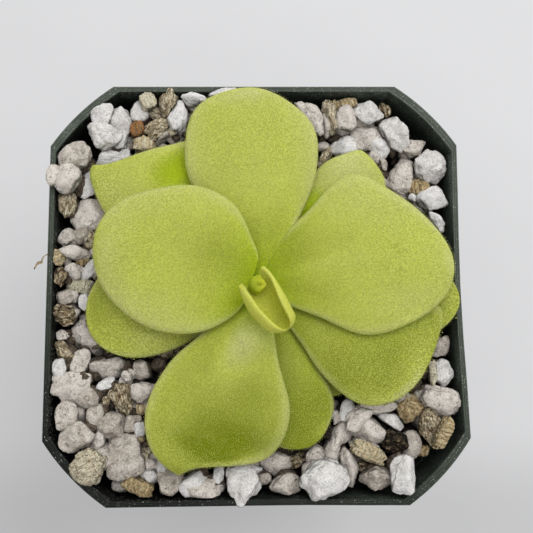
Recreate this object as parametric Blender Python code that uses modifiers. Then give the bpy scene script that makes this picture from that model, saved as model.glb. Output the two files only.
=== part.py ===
"""A young rosette of round fleshy leaves in a square nursery pot filled with perlite mix.

The pot stands on z = 0 with its middle on the z axis. The leaves spread from a short
stem in the middle of the mix, in tiers that lie over one another without touching.
Sizes are written in millimetres and scaled to metres when a mesh is finished.
"""

import math
import random

import bmesh
import bpy
from mathutils import Matrix, Vector

MM = 0.001

# Pot: a square with cut, slightly bulging corners. A ring is (half width, corner cut, height).
RIM_HALF = 38.0
RIM_CUT = 11.4
POT_HEIGHT = 70.0
LEDGE = 1.05
CORNER_BULGE = 0.78
CORNER_STEPS = 4
FOOT_HALF = 27.0
FLOOR_TOP = 3.0
FLOOR_UNDER = 2.2
COLLAR_FOOT = 60.0
DRAIN_RADIUS = 3.5
DRAIN_OFFSET = 15.5
NOTCH_WIDTH = 12.0
NOTCH_HEIGHT = 1.3

# Mix: a bed of small grit with coarser grains set into its surface.
CLEARANCE = 0.3
BED_HEIGHT = 65.3
BED_STEPS = 8
SMALLEST_GRAIN = 4.5
FILL_SPACING = 7.2
FILL_CLEAR = 3.4
STEM_CLEAR = 5.0
LEAF_CLEAR = 0.55

# Plant: everything grows round this upright axis.
AXIS = (1.0, 1.0)
STEM_FOOT = 56.0
STEM_TOP = 74.9
STEM_RADIUS = 3.0
BLADE = 0.9
TIP_HALF = 0.35

GREEN = (0.46, 0.53, 0.075, 1.0)
YOUNG_GREEN = (0.50, 0.56, 0.06, 1.0)
SHADED_GREEN = (0.33, 0.43, 0.05, 1.0)
POT_GREEN = (0.018, 0.032, 0.022, 1.0)
MIX_WHITE = (0.66, 0.62, 0.58, 1.0)

# Coarse grains in view: x, y and height of the middle, length, width, turn in degrees.
PERLITE = (
    (-28, 32, 70.5, 4.5, 4.5, 0), (-26, 32.5, 67, 4, 5, 0), (-28, 29.5, 67.5, 6.5, 5, -20),
    (-27.5, 26.5, 67, 6.5, 5, 10), (-34.5, 21, 70.5, 6, 5, 0), (-37, 21, 70.5, 2.5, 3, 0),
    (-31.5, 20.5, 67, 6.5, 3.5, 70), (-22, 34.5, 67, 4.5, 3.5, 85), (-15, 33, 67, 6, 3.5, 100),
    (-11, 36, 70.5, 5, 2.5, -5), (-6, 36.5, 70.5, 5, 2.5, 5), (-35, 10, 67, 3.5, 3.5, 0),
    (-32.5, 10.5, 67, 3, 3.5, 0), (-30.5, 4, 67, 4.5, 2, 70), (-35, -1, 67.5, 3.5, 3, 0),
    (-31.5, -2, 66.5, 3, 2, 90), (-35.5, -14, 68.5, 3.5, 2.5, 80), (-33, -17, 68, 6.5, 5, 10),
    (-31, -19.5, 67.5, 5.5, 4.5, -40), (-27.5, -17, 66.5, 3.5, 2, 20), (-20.5, -18.5, 67, 4, 3.5, 0),
    (-21, -14.5, 67, 3.5, 3, 90), (-32, -26, 69.5, 6, 4.5, 25), (-29, -23, 67, 5, 3, 80),
    (-23.5, -30, 67.5, 7.5, 7, -70), (-28.5, -27, 66.5, 3.5, 2.5, 60), (-24.5, -35, 66.5, 3, 2.5, 0),
    (-19.5, -33.5, 67, 3.5, 3, 0), (-11, -34.5, 68.5, 5.5, 4.5, 50), (-9, -36, 70.5, 7, 3.5, 0),
    (-7, -33, 67, 3, 2, 90), (-3, -35, 70.5, 7, 6.5, 60), (-2, -32, 67, 5.5, 2, -5),
    (1, -34, 66.5, 3, 2.5, 0), (11.5, -34.5, 70.5, 8, 7.5, 0), (16.5, -32, 67.5, 7, 3, 100),
    (10.5, -30, 67, 3.5, 3, 60), (28, -28.5, 67, 5, 3.5, 80), (25.5, -33, 70.5, 6.5, 4.5, 80),
    (24.5, -24, 67, 5, 2.5, -30), (33, -20.5, 68, 8.5, 5, -20), (34, -15.5, 67, 5, 4, 90),
    (16.5, -21.5, 67, 4, 3, 80), (10.5, 32.5, 67.5, 7.5, 3.5, -55), (22, 34, 67.5, 5.5, 4.5, -15),
    (27, 29.5, 67, 7, 4.5, -70), (24, 27, 67, 5, 3.5, 80), (17, 27.5, 66.5, 5, 3.5, 0),
    (33.5, 23, 67.5, 6, 5.5, -60), (33, 16.5, 67, 5, 3.5, 15), (34, 12.5, 66.5, 4.5, 2, -55),
)
PUMICE = (
    (-33.5, 24.5, 69.5, 6, 4.5, 20), (-31, 14.5, 67.5, 7.5, 6.5, 20), (-33.5, 7, 67.5, 5, 2.5, -5),
    (-33.5, 3.5, 67, 3, 3, 0), (-31, -7.5, 67.5, 7.5, 6.5, 80), (-32, -13, 67, 5, 3, 75),
    (-27.5, -14, 67.5, 7.5, 4.5, 5), (-34, -22.5, 67.5, 7, 4, 100), (-26, -24.5, 67, 5.5, 5, 0),
    (-22.5, -24, 67, 3.5, 3, 60), (-15.5, -34.5, 67, 5, 4.5, 0), (3.5, -31.5, 67, 6, 4.5, 10),
    (5, -35, 68, 5.5, 4, 0), (13.5, -29.5, 67.5, 5, 3, 75), (15.5, -26.5, 67.5, 5, 3, 50),
    (18, -23.5, 67.5, 4, 3, 35), (20, -26, 67.5, 5.5, 5, -50), (21.5, -34, 67.5, 6, 4, 10),
    (34, -11, 67, 5, 3, 45), (22, -21.5, 67, 7, 2.5, 0), (17.5, 32.5, 67, 5, 3, 100),
    (21.5, 29, 67, 6.5, 4.5, -10), (28, 21.5, 67.5, 8.5, 5, 80), (30.5, 27, 67, 3.5, 3, 0),
)
VERMICULITE = (
    (-23, 31, 66, 3, 2.5, 0), (-22, 28, 66.5, 4.5, 3, 5), (-36, 6, 69, 3, 2, 90),
    (-32.5, 1, 67, 5, 3, -15), (-22, -27, 67, 3.5, 2.5, 30), (-29.5, -31.5, 70.5, 7, 6.5, 10),
    (-21, -35, 68, 5.5, 3, -25), (20, -29.5, 67.5, 7, 3, -28), (28, -21.5, 67, 5, 4.5, 30),
    (33, -26, 70.5, 6, 2.5, 70), (32, -15.5, 66.5, 4.5, 1.5, 90), (31, 19, 67, 4, 3.5, 0),
)
BARK = (
    (-16.5, 35.5, 70.5, 4, 2.5, 80), (-18.5, 34.5, 66, 3.5, 3, 0), (-19, 31.5, 66.5, 5, 3.5, 20),
    (-35, 16, 67, 5, 3.5, 85), (-31, 9.5, 66.5, 3.5, 2.5, 90), (-35.5, 2.5, 69, 3.5, 2.5, 90),
    (-35, -4.5, 68, 4, 4, 0), (-35, -11, 67, 5, 3, -45), (-24.5, -19.5, 67, 6, 4, 100),
    (-20.5, -29, 67, 3, 2.5, -20), (7, -31, 66, 4, 3, 20), (25, -28, 67, 5.5, 4.5, 0),
    (31.5, -25, 67.5, 8, 4.5, 100), (14.5, 33, 67, 6.5, 3.5, 100), (13.5, 25.5, 66, 5, 2, 60),
)

# Leaves: heading in degrees, reach from the axis, radius where the leaf leaves the stem, and
# the midrib's sideways bow. Half widths to the left and right of the heading start at the stem
# and stand at even steps that crowd towards both ends. Heights follow the midrib from stem to
# tip, and falls are how far the left margin, the right margin and the tip turn down.
LEAVES = {
    "leaf_north": dict(
        heading=94, reach=36.0, start=3.1, bow=-1.4,
        left=(2.3, 3.2, 5.7, 12.8, 12.8, 8.9), right=(2.3, 3.0, 6.1, 9.9, 10.7, 6.1),
        heights=(71.0, 72.6, 73.6, 73.6), falls=(0.9, 1.1, 1.4), ridge=0.3, rows=14, columns=8,
    ),
    "leaf_west": dict(
        heading=163, reach=30.5, start=1.7, bow=1.0,
        left=(3.0, 7.8, 11.5, 12.5, 10.5, 6.2), right=(3.0, 6.7, 12.6, 13.8, 10.6, 6.0),
        heights=(73.4, 75.2, 76.2, 76.0), falls=(1.1, 1.2, 2.0), ridge=0.0, rows=14, columns=8,
    ),
    "leaf_east": dict(
        heading=5, reach=34.5, start=3.1, bow=0.5,
        left=(2.3, 6.2, 11.0, 17.4, 12.8, 6.4), right=(2.3, 3.8, 7.3, 11.7, 10.0, 5.8),
        heights=(71.0, 73.4, 74.6, 74.2), falls=(1.2, 0.9, 1.4), ridge=0.4, rows=14, columns=8,
    ),
    "leaf_southwest": dict(
        heading=246, reach=36.5, start=3.1, bow=0.4,
        left=(2.3, 4.1, 7.8, 13.5, 12.5, 2.5), right=(2.3, 4.4, 6.0, 9.6, 10.0, 6.4),
        heights=(71.0, 72.9, 73.3, 72.5), falls=(1.2, 1.2, 1.2), ridge=0.2, rows=14, columns=8,
    ),
    "leaf_southeast": dict(
        heading=-29, reach=33.0, start=3.3, bow=-0.6,
        left=(1.9, 3.2, 4.9, 6.9, 10.1, 10.9), right=(1.9, 3.1, 5.4, 9.0, 10.2, 6.7),
        heights=(69.3, 70.8, 71.9, 72.1), falls=(0.1, 0.6, 0.6), ridge=0.0, rows=13, columns=8,
    ),
    "leaf_south": dict(
        heading=-75, reach=30.4, start=3.5, bow=0.8,
        left=(1.3, 2.2, 3.5, 5.0, 6.2, 3.7), right=(1.3, 2.6, 5.0, 6.8, 6.8, 5.2),
        heights=(67.9, 69.1, 70.1, 70.2), falls=(0.7, 0.5, 0.8), ridge=0.0, rows=10, columns=6,
    ),
    "leaf_northwest": dict(
        heading=145, reach=38.0, start=3.5, bow=0.0,
        left=(1.2, 2.0, 4.5, 6.3, 5.2, 1.7), right=(1.4, 3.7, 11.0, 18.5, 10.8, 2.6),
        heights=(67.8, 69.2, 70.4, 70.4), falls=(0.7, 0.7, 0.8), ridge=0.0, rows=11, columns=6,
    ),
    "leaf_west_low": dict(
        heading=193, reach=32.3, start=3.5, bow=-0.2,
        left=(1.3, 2.8, 5.7, 8.1, 8.0, 4.9), right=(1.2, 2.1, 4.4, 8.0, 9.3, 6.0),
        heights=(67.6, 69.0, 69.9, 70.0), falls=(0.7, 0.7, 0.8), ridge=0.0, rows=10, columns=6,
    ),
    "leaf_northeast": dict(
        heading=52, reach=31.2, start=3.5, bow=-0.2,
        left=(1.3, 2.4, 4.1, 4.7, 4.8, 2.2), right=(1.3, 2.5, 5.2, 8.2, 9.0, 6.3),
        heights=(67.8, 69.0, 70.2, 70.3), falls=(0.7, 0.6, 0.9), ridge=0.0, rows=10, columns=6,
    ),
    "leaf_east_low": dict(
        heading=-6, reach=35.9, start=3.5, bow=0.0,
        left=(1.2, 2.4, 5.0, 7.7, 7.9, 4.5), right=(1.2, 2.4, 5.2, 8.0, 8.4, 4.6),
        heights=(67.6, 68.5, 69.5, 70.8), falls=(0.3, 0.3, 0.0), ridge=0.0, rows=10, columns=6,
    ),
    "leaf_southeast_low": dict(
        heading=-55, reach=24.6, start=3.5, bow=0.0,
        left=(1.1, 1.6, 2.6, 3.6, 3.8, 2.2), right=(1.1, 1.6, 2.5, 3.4, 3.6, 2.2),
        heights=(66.4, 66.9, 67.4, 67.8), falls=(0.2, 0.2, 0.3), ridge=0.0, rows=9, columns=4,
    ),
}
# Hollows and swellings of a blade: place along and across it, height, and spread of each.
SWELLS = {
    "leaf_southwest": ((0.66, 0.05, -0.9, 0.13, 0.5), (0.86, 0.3, 0.5, 0.06, 0.6)),
}

# Youngest open leaf: a boat-shaped trough with its margins rolled in over the stem's top.
TROUGH = dict(
    back=(-0.6, 1.3), tip=(5.3, -7.8), radii=(2.65, 3.05, 3.1, 2.55, 0.8),
    floor=(75.65, 75.7, 76.0, 76.6, 77.8), turns=(116, 132, 136, 130, 112), rows=10, columns=10,
)
TROUGH_BLADE = 0.8

# Bud: a closed leaf tip standing in the trough's open end, leaning towards +x.
BUD_AT = (0.05, -0.1)
BUD_FOOT = 76.45
BUD_RADIUS = 1.4
BUD_HEIGHT = 2.9


def clear_scene():
    for obj in list(bpy.data.objects):
        bpy.data.objects.remove(obj, do_unlink=True)


def new_collection(name, helper=False):
    collection = bpy.data.collections.new(name)
    bpy.context.scene.collection.children.link(collection)
    collection.hide_render = helper
    return collection


def new_material(name, colour, roughness):
    material = bpy.data.materials.new(name)
    material.use_nodes = True
    shader = material.node_tree.nodes["Principled BSDF"]
    shader.inputs["Base Color"].default_value = colour
    shader.inputs["Roughness"].default_value = roughness
    shader.inputs["Metallic"].default_value = 0.0
    material.diffuse_color = colour
    return material


def finish(bm, name, collection, material=None, smooth=False):
    """Turns a bmesh in millimetres into an object in metres."""
    bmesh.ops.scale(bm, vec=(MM, MM, MM), verts=bm.verts)
    mesh = bpy.data.meshes.new(name)
    bm.to_mesh(mesh)
    bm.free()
    if material:
        mesh.materials.append(material)
    if smooth:
        mesh.shade_smooth()
        mesh.set_sharp_from_angle(angle=math.radians(40))
    obj = bpy.data.objects.new(name, mesh)
    collection.objects.link(obj)
    return obj


def make_helper(obj):
    obj.hide_render = True
    obj.display_type = "WIRE"
    return obj


def add_boolean(obj, operation, cutter, solver="EXACT"):
    modifier = obj.modifiers.new(operation.lower(), "BOOLEAN")
    modifier.operation = operation
    modifier.object = cutter
    modifier.solver = solver


def apply_modifiers(obj):
    graph = bpy.context.evaluated_depsgraph_get()
    mesh = bpy.data.meshes.new_from_object(obj.evaluated_get(graph))
    old = obj.data
    obj.modifiers.clear()
    obj.data = mesh
    bpy.data.meshes.remove(old)


def smooth_curve(values, at, closing=False):
    """Reads an even row of values at 0 to 1 along a smooth curve, which may close on zero."""
    row = list(values)
    last = -row[-2] if closing else 2 * row[-1] - row[-2]
    row = [2 * row[0] - row[1], *row, last]
    place = min(max(at, 0.0), 1.0) * (len(row) - 3)
    step = min(int(place), len(row) - 4)
    u = place - step
    a, b, c, d = row[step : step + 4]
    return b + 0.5 * u * (c - a + u * (2 * a - 5 * b + 4 * c - d + u * (3 * (b - c) + d - a)))


def smooth_step(low, high, value):
    u = min(max((value - low) / (high - low), 0.0), 1.0)
    return u * u * (3 - 2 * u)


def pot_ring(half, cut, height):
    """Points of a square with cut corners, counter-clockwise, each cut a shallow outward arc."""
    points = []
    for corner in range(4):
        turn = Matrix.Rotation(math.radians(90 * corner), 3, "Z")
        start, end = Vector((half, half - cut, 0)), Vector((half - cut, half, 0))
        outward = Vector((1, 1, 0)).normalized()
        for step in range(CORNER_STEPS + 1):
            u = step / CORNER_STEPS
            point = start.lerp(end, u) + outward * CORNER_BULGE * 4 * u * (1 - u)
            points.append(turn @ point + Vector((0, 0, height)))
    return points


def loft(rings):
    """A closed solid through rings of equal count, capped at its first and last."""
    bm = bmesh.new()
    loops = [[bm.verts.new(point) for point in ring] for ring in rings]
    for low, high in zip(loops, loops[1:]):
        for i in range(len(low)):
            j = (i + 1) % len(low)
            bm.faces.new((low[i], low[j], high[j], high[i]))
    bm.faces.new(loops[0][::-1])
    bm.faces.new(loops[-1])
    bmesh.ops.recalc_face_normals(bm, faces=bm.faces)
    return bm


def cylinder(radius, low, high, at, sides, name, collection):
    bm = bmesh.new()
    bmesh.ops.create_cone(
        bm, cap_ends=True, segments=sides, radius1=radius, radius2=radius, depth=high - low
    )
    bmesh.ops.translate(bm, verts=bm.verts, vec=(at[0], at[1], (low + high) / 2))
    return make_helper(finish(bm, name, collection))


def box(size, at, name, collection):
    bm = bmesh.new()
    bmesh.ops.create_cube(bm, size=1.0)
    bmesh.ops.scale(bm, vec=size, verts=bm.verts)
    bmesh.ops.translate(bm, verts=bm.verts, vec=at)
    return make_helper(finish(bm, name, collection))


def make_pot(collection, cutters):
    wall = [
        pot_ring(FOOT_HALF - 1.4, 7.2, FLOOR_UNDER),
        pot_ring(FOOT_HALF - 1.3, 7.3, 0),
        pot_ring(FOOT_HALF, 7.8, 0),
        pot_ring(RIM_HALF - 1.8, 10.8, COLLAR_FOOT),
        pot_ring(RIM_HALF - 0.7, 11.2, COLLAR_FOOT + 0.7),
        pot_ring(RIM_HALF, RIM_CUT, POT_HEIGHT),
        pot_ring(RIM_HALF - LEDGE, RIM_CUT + 0.16, POT_HEIGHT),
        pot_ring(RIM_HALF - 1.5, 11.3, COLLAR_FOOT + 1.0),
        pot_ring(RIM_HALF - 2.6, 10.7, COLLAR_FOOT - 0.4),
        pot_ring(FOOT_HALF - 0.6, 7.6, FLOOR_TOP),
    ]
    pot = finish(loft(wall), "pot", collection, new_material("pot_plastic", POT_GREEN, 0.45), True)
    places = [(0, 0)] + [(x * DRAIN_OFFSET, y * DRAIN_OFFSET) for x in (-1, 1) for y in (-1, 1)]
    for i, at in enumerate(places):
        hole = cylinder(DRAIN_RADIUS, 1, 5, at, 16, f"drain_{i}", cutters)
        add_boolean(pot, "DIFFERENCE", hole)
    for i, (x, y) in enumerate(((1, 0), (0, 1), (-1, 0), (0, -1))):
        size = (6, NOTCH_WIDTH, 2 * NOTCH_HEIGHT) if x else (NOTCH_WIDTH, 6, 2 * NOTCH_HEIGHT)
        notch = box(size, (x * FOOT_HALF, y * FOOT_HALF, 0), f"notch_{i}", cutters)
        add_boolean(pot, "DIFFERENCE", notch)
    return pot


def bed_height(x, y):
    """Height of the fine grit: hollow round the stem, banked towards -y, sunk in the corners."""
    corner = max(0.0, (abs(x) + abs(y) - 46) / 16)
    edge = smooth_step(28, 37, max(abs(x), abs(y)))
    hollow = 1 - smooth_step(8, 26, math.hypot(x, y))
    return BED_HEIGHT - 3.5 * corner - 0.8 * edge - 1.5 * hollow + 1.0 * max(0.0, -y / 38)


def grain(at, size, turn, draw, name, collection):
    """One angular grain: a faceted ball, stretched, tilted and roughened."""
    bm = bmesh.new()
    bmesh.ops.create_icosphere(bm, subdivisions=1, radius=1.1)
    for vert in bm.verts:
        vert.co *= draw.uniform(0.88, 1.1)
    tilt = Matrix.Rotation(draw.uniform(-0.3, 0.3), 3, "X")
    spin = Matrix.Rotation(math.radians(turn), 3, "Z")
    shape = Matrix.Diagonal([side / 2 for side in size])
    bmesh.ops.transform(bm, matrix=(spin @ shape @ tilt).to_4x4(), verts=bm.verts)
    bmesh.ops.translate(bm, verts=bm.verts, vec=at)
    return make_helper(finish(bm, name, collection))


def leaf_undersides():
    """Points spread over the underside of every leaf."""
    points = []
    for name, leaf in LEAVES.items():
        for i in range(25):
            for j in range(-6, 7):
                points.append(leaf_point(leaf, SWELLS.get(name, ()), i / 24, j / 6))
                points[-1].z -= BLADE / 2
    return points


def top_under(points, x, y, radius):
    """The height that a grain may reach at this spot and stay clear of the leaves over it."""
    near = [p.z for p in points if (p.x - x) ** 2 + (p.y - y) ** 2 < (radius + 0.8) ** 2]
    return min(near, default=100.0) - LEAF_CLEAR


def placed_grains(roof):
    """The hand-set grains that are large enough to model, with a stone under each high one."""
    rows = []
    for x, y, z, length, width, turn in PERLITE + PUMICE + VERMICULITE + BARK:
        if length < SMALLEST_GRAIN:
            continue
        depth = 0.4 * (length + width)
        z = min(z, top_under(roof, x, y, length / 2) - depth / 2)
        rows.append(((x, y, z), (length, width, depth), turn))
        if z - depth / 2 > bed_height(x, y) - 0.4:
            under = bed_height(x, y) + 0.3
            rows.append(((x * 0.97, y * 0.97, (z + under) / 2), (length * 0.8, width * 0.8, depth), turn))
    return rows


def fill_grains(roof, taken, draw):
    """Grains by rule wherever no hand-set one lies: a jittered grid that keeps off the stem."""
    rows = []
    steps = int(RIM_HALF / FILL_SPACING)
    for i in range(-steps, steps + 1):
        for j in range(-steps, steps + 1):
            x = i * FILL_SPACING + draw.uniform(-1.2, 1.2)
            y = j * FILL_SPACING + draw.uniform(-1.2, 1.2)
            size = draw.uniform(3.4, 5.0)
            turn = draw.uniform(0, 180)
            inside = max(abs(x), abs(y)) < 34.5 and abs(x) + abs(y) < 58
            near = any(math.hypot(x - at[0], y - at[1]) < FILL_CLEAR for at, _, _ in taken)
            stem = math.hypot(x - AXIS[0], y - AXIS[1]) < STEM_CLEAR + size / 2
            if inside and not near and not stem:
                z = min(bed_height(x, y) + 0.2, top_under(roof, x, y, size / 2) - 0.35 * size)
                rows.append(((x, y, z), (size, size * 0.8, size * 0.7), turn))
    return rows


def largest_body(bm):
    """Removes loose scraps that the cuts leave behind."""
    seen, bodies = set(), []
    for start in bm.verts:
        if start in seen:
            continue
        body, queue = {start}, [start]
        while queue:
            for edge in queue.pop().link_edges:
                for vert in edge.verts:
                    if vert not in body:
                        body.add(vert)
                        queue.append(vert)
        seen |= body
        bodies.append(body)
    bodies.sort(key=len, reverse=True)
    for body in bodies[1:]:
        bmesh.ops.delete(bm, geom=list(body), context="VERTS")


def make_mix(collection, cutters):
    draw = random.Random(11)
    bm = bmesh.new()
    bmesh.ops.create_grid(bm, x_segments=BED_STEPS, y_segments=BED_STEPS, size=RIM_HALF + 1)
    for vert in bm.verts:
        vert.co.z = bed_height(vert.co.x, vert.co.y)
    added = bmesh.ops.extrude_face_region(bm, geom=bm.faces[:])["geom"]
    for vert in (item for item in added if isinstance(item, bmesh.types.BMVert)):
        vert.co.z = 0
    bmesh.ops.recalc_face_normals(bm, faces=bm.faces)
    mix = finish(bm, "potting_mix", collection, new_material("perlite_mix", MIX_WHITE, 0.9))

    grains = new_collection("grains", helper=True)
    roof = leaf_undersides()
    rows = placed_grains(roof)
    rows += fill_grains(roof, rows, draw)
    for i, (at, size, turn) in enumerate(rows):
        grain(at, size, turn, draw, f"grain_{i}", grains)
    union = mix.modifiers.new("grains", "BOOLEAN")
    union.operation = "UNION"
    union.operand_type = "COLLECTION"
    union.collection = grains
    union.solver = "MANIFOLD"

    gap = CLEARANCE
    room = [
        pot_ring(FOOT_HALF - 0.6 - gap, 7.6, FLOOR_TOP + gap),
        pot_ring(RIM_HALF - 2.6 - gap, 10.7, COLLAR_FOOT - 0.1),
        pot_ring(RIM_HALF - 1.5 - gap, 11.3, COLLAR_FOOT + 1.3),
        pot_ring(RIM_HALF - LEDGE - gap, RIM_CUT + 0.16, POT_HEIGHT + gap),
        pot_ring(RIM_HALF + 0.4, RIM_CUT, POT_HEIGHT + gap),
        pot_ring(RIM_HALF + 0.4, RIM_CUT, POT_HEIGHT + 15),
    ]
    room = make_helper(finish(loft(room), "room_for_mix", cutters))
    add_boolean(mix, "INTERSECT", room, "MANIFOLD")
    hole = cylinder(STEM_RADIUS + gap, STEM_FOOT - gap, 90, AXIS, 20, "stem_hole", cutters)
    add_boolean(mix, "DIFFERENCE", hole, "MANIFOLD")
    apply_modifiers(mix)
    for obj in list(grains.objects):
        bpy.data.objects.remove(obj, do_unlink=True)
    bpy.data.collections.remove(grains)
    for cutter in (room, hole):
        bpy.data.objects.remove(cutter, do_unlink=True)

    bm = bmesh.new()
    bm.from_mesh(mix.data)
    largest_body(bm)
    bm.to_mesh(mix.data)
    bm.free()
    return mix


def make_stem(collection):
    """The short stem: a turned profile, from its top down to the blunt root end."""
    profile = (
        (0.0, STEM_TOP), (0.95, STEM_TOP), (1.2, STEM_TOP - 0.4), (1.25, 72.5), (2.5, 71.7),
        (2.75, 69.6), (STEM_RADIUS, 66.5), (STEM_RADIUS, 59.0), (2.2, STEM_FOOT + 0.6),
        (1.0, STEM_FOOT), (0.0, STEM_FOOT),
    )
    bm = bmesh.new()
    verts = [bm.verts.new((radius, 0, height)) for radius, height in profile]
    for high, low in zip(verts, verts[1:]):
        bm.edges.new((high, low))
    stem = finish(bm, "crown_stem", collection, new_material("stem_skin", SHADED_GREEN, 0.5))
    screw = stem.modifiers.new("turn", "SCREW")
    screw.steps = screw.render_steps = 20
    screw.use_merge_vertices = True
    screw.merge_threshold = 0.00002
    stem.location = (AXIS[0] * MM, AXIS[1] * MM, 0)
    return stem


def leaf_point(leaf, swells, x, t):
    """Where the leaf's middle surface lies, x from 0 at the stem to 1, t from -1 right to 1 left."""
    s = (1 - math.cos(math.pi * x)) / 2
    widths = leaf["left"] if t > 0 else leaf["right"]
    half = max(smooth_curve((*widths, 0.0), x, closing=True), TIP_HALF)
    along = leaf["start"] + (leaf["reach"] - leaf["start"]) * s
    side = t * half + leaf["bow"] * 4 * s * (1 - s)
    end = max(0.0, 2 * x - 1)
    left, right, tip = leaf["falls"]
    fall = (left + right) / 2 * (1 - end) + tip * end + t * (1 - end) * (left - right) / 2
    margin = 1 - (1 - abs(t) ** 2.4) * (1 - end**3)
    z = smooth_curve(leaf["heights"], s) - fall * margin * smooth_step(0.05, 0.45, x)
    z += leaf["ridge"] * math.exp(-((t / 0.3) ** 2) - ((x - 0.28) / 0.16) ** 2)
    for place, across, height, spread, breadth in swells:
        z += height * math.exp(-(((x - place) / spread) ** 2) - ((t - across) / breadth) ** 2)
    angle = math.radians(leaf["heading"])
    ahead, left_of = Vector((math.cos(angle), math.sin(angle))), Vector((-math.sin(angle), math.cos(angle)))
    plan = Vector(AXIS) + ahead * along + left_of * side
    return Vector((plan.x, plan.y, z))


def sheet(rows, columns, point_at, thickness, name, collection, material):
    """A leaf solid: a grid mapped by a formula, split into triangles, then thickened both ways."""
    bm = bmesh.new()
    bmesh.ops.create_grid(bm, x_segments=rows, y_segments=columns, size=1.0)
    for vert in bm.verts:
        vert.co = point_at((vert.co.x + 1) / 2, vert.co.y)
    leaf = finish(bm, name, collection, material, True)
    split = leaf.modifiers.new("split", "TRIANGULATE")
    split.quad_method = "FIXED"
    shell = leaf.modifiers.new("blade", "SOLIDIFY")
    shell.thickness = thickness * MM
    shell.offset = 0.0
    return leaf


def make_leaves(collection):
    mature = new_material("leaf_flesh", GREEN, 0.5)
    for name, leaf in LEAVES.items():
        swells = SWELLS.get(name, ())
        sheet(
            leaf["rows"], leaf["columns"],
            lambda x, t, leaf=leaf, swells=swells: leaf_point(leaf, swells, x, t),
            BLADE, name, collection, mature,
        )


def trough_point(x, t):
    """The young leaf's middle surface: a trough whose margins roll in over its floor."""
    back, tip = Vector(TROUGH["back"]), Vector(TROUGH["tip"])
    ahead = (tip - back).normalized()
    radius = smooth_curve(TROUGH["radii"], x)
    around = math.radians(smooth_curve(TROUGH["turns"], x)) * t
    plan = back.lerp(tip, x) + Vector((-ahead.y, ahead.x)) * radius * math.sin(around)
    return Vector((plan.x, plan.y, smooth_curve(TROUGH["floor"], x) + radius * (1 - math.cos(around))))


def make_young_leaves(collection):
    young = new_material("young_leaf_flesh", YOUNG_GREEN, 0.45)
    sheet(TROUGH["rows"], TROUGH["columns"], trough_point, TROUGH_BLADE, "leaf_young", collection, young)
    bm = bmesh.new()
    bmesh.ops.create_icosphere(bm, subdivisions=2, radius=1.0)
    for vert in bm.verts:
        rise = (vert.co.z + 1) / 2
        lean = 0.5 * rise * rise
        vert.co = Vector((
            BUD_AT[0] + BUD_RADIUS * vert.co.x * (1 - 0.15 * rise) + lean,
            BUD_AT[1] + BUD_RADIUS * vert.co.y * (1 - 0.2 * rise),
            BUD_FOOT + BUD_HEIGHT * rise,
        ))
    finish(bm, "leaf_bud", collection, young, True)


def main():
    clear_scene()
    plant = new_collection("potted_rosette")
    cutters = new_collection("cutters", helper=True)
    make_pot(plant, cutters)
    make_mix(plant, cutters)
    make_stem(plant)
    make_leaves(plant)
    make_young_leaves(plant)


main()
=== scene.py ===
# %% [markdown]
# # A potted rosette, seen from above
# A small plant with round, fleshy, sticky leaves grows in a square nursery pot filled with
# white grit. The CAD frame fixes where everything is. This lesson dresses it: living leaves
# with thin margins and gland hairs, porous stones, and thin dusty plastic.

# %% Load the frame
import math
import random

import bmesh
import bpy
from mathutils import Matrix, Vector, noise


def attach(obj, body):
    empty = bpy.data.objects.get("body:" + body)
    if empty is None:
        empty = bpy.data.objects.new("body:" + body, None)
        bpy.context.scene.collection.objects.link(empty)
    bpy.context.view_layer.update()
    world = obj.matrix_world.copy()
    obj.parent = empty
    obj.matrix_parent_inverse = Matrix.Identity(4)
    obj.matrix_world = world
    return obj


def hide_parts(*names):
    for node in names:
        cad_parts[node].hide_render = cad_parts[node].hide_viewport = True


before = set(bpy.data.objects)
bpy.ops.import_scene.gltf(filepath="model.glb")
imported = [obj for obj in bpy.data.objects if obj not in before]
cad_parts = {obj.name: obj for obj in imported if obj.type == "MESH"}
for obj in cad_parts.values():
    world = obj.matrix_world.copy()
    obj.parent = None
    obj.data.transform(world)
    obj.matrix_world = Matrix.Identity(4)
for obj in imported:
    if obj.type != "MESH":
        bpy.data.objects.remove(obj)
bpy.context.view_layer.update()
scene = bpy.context.scene
MM = 0.001

# %% [markdown]
# ## Node trees in few words
# A finish can be wired by hand in the shader editor. In code the same wiring repeats a few
# steps hundreds of times, so each step gets a short name here: a sum, a soft ramp, a noise.
# Values that never change are set on the socket itself, with no node in between.


# %% Node trees in few words
def spaced(name):
    return name.replace("_", " ")


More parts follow.
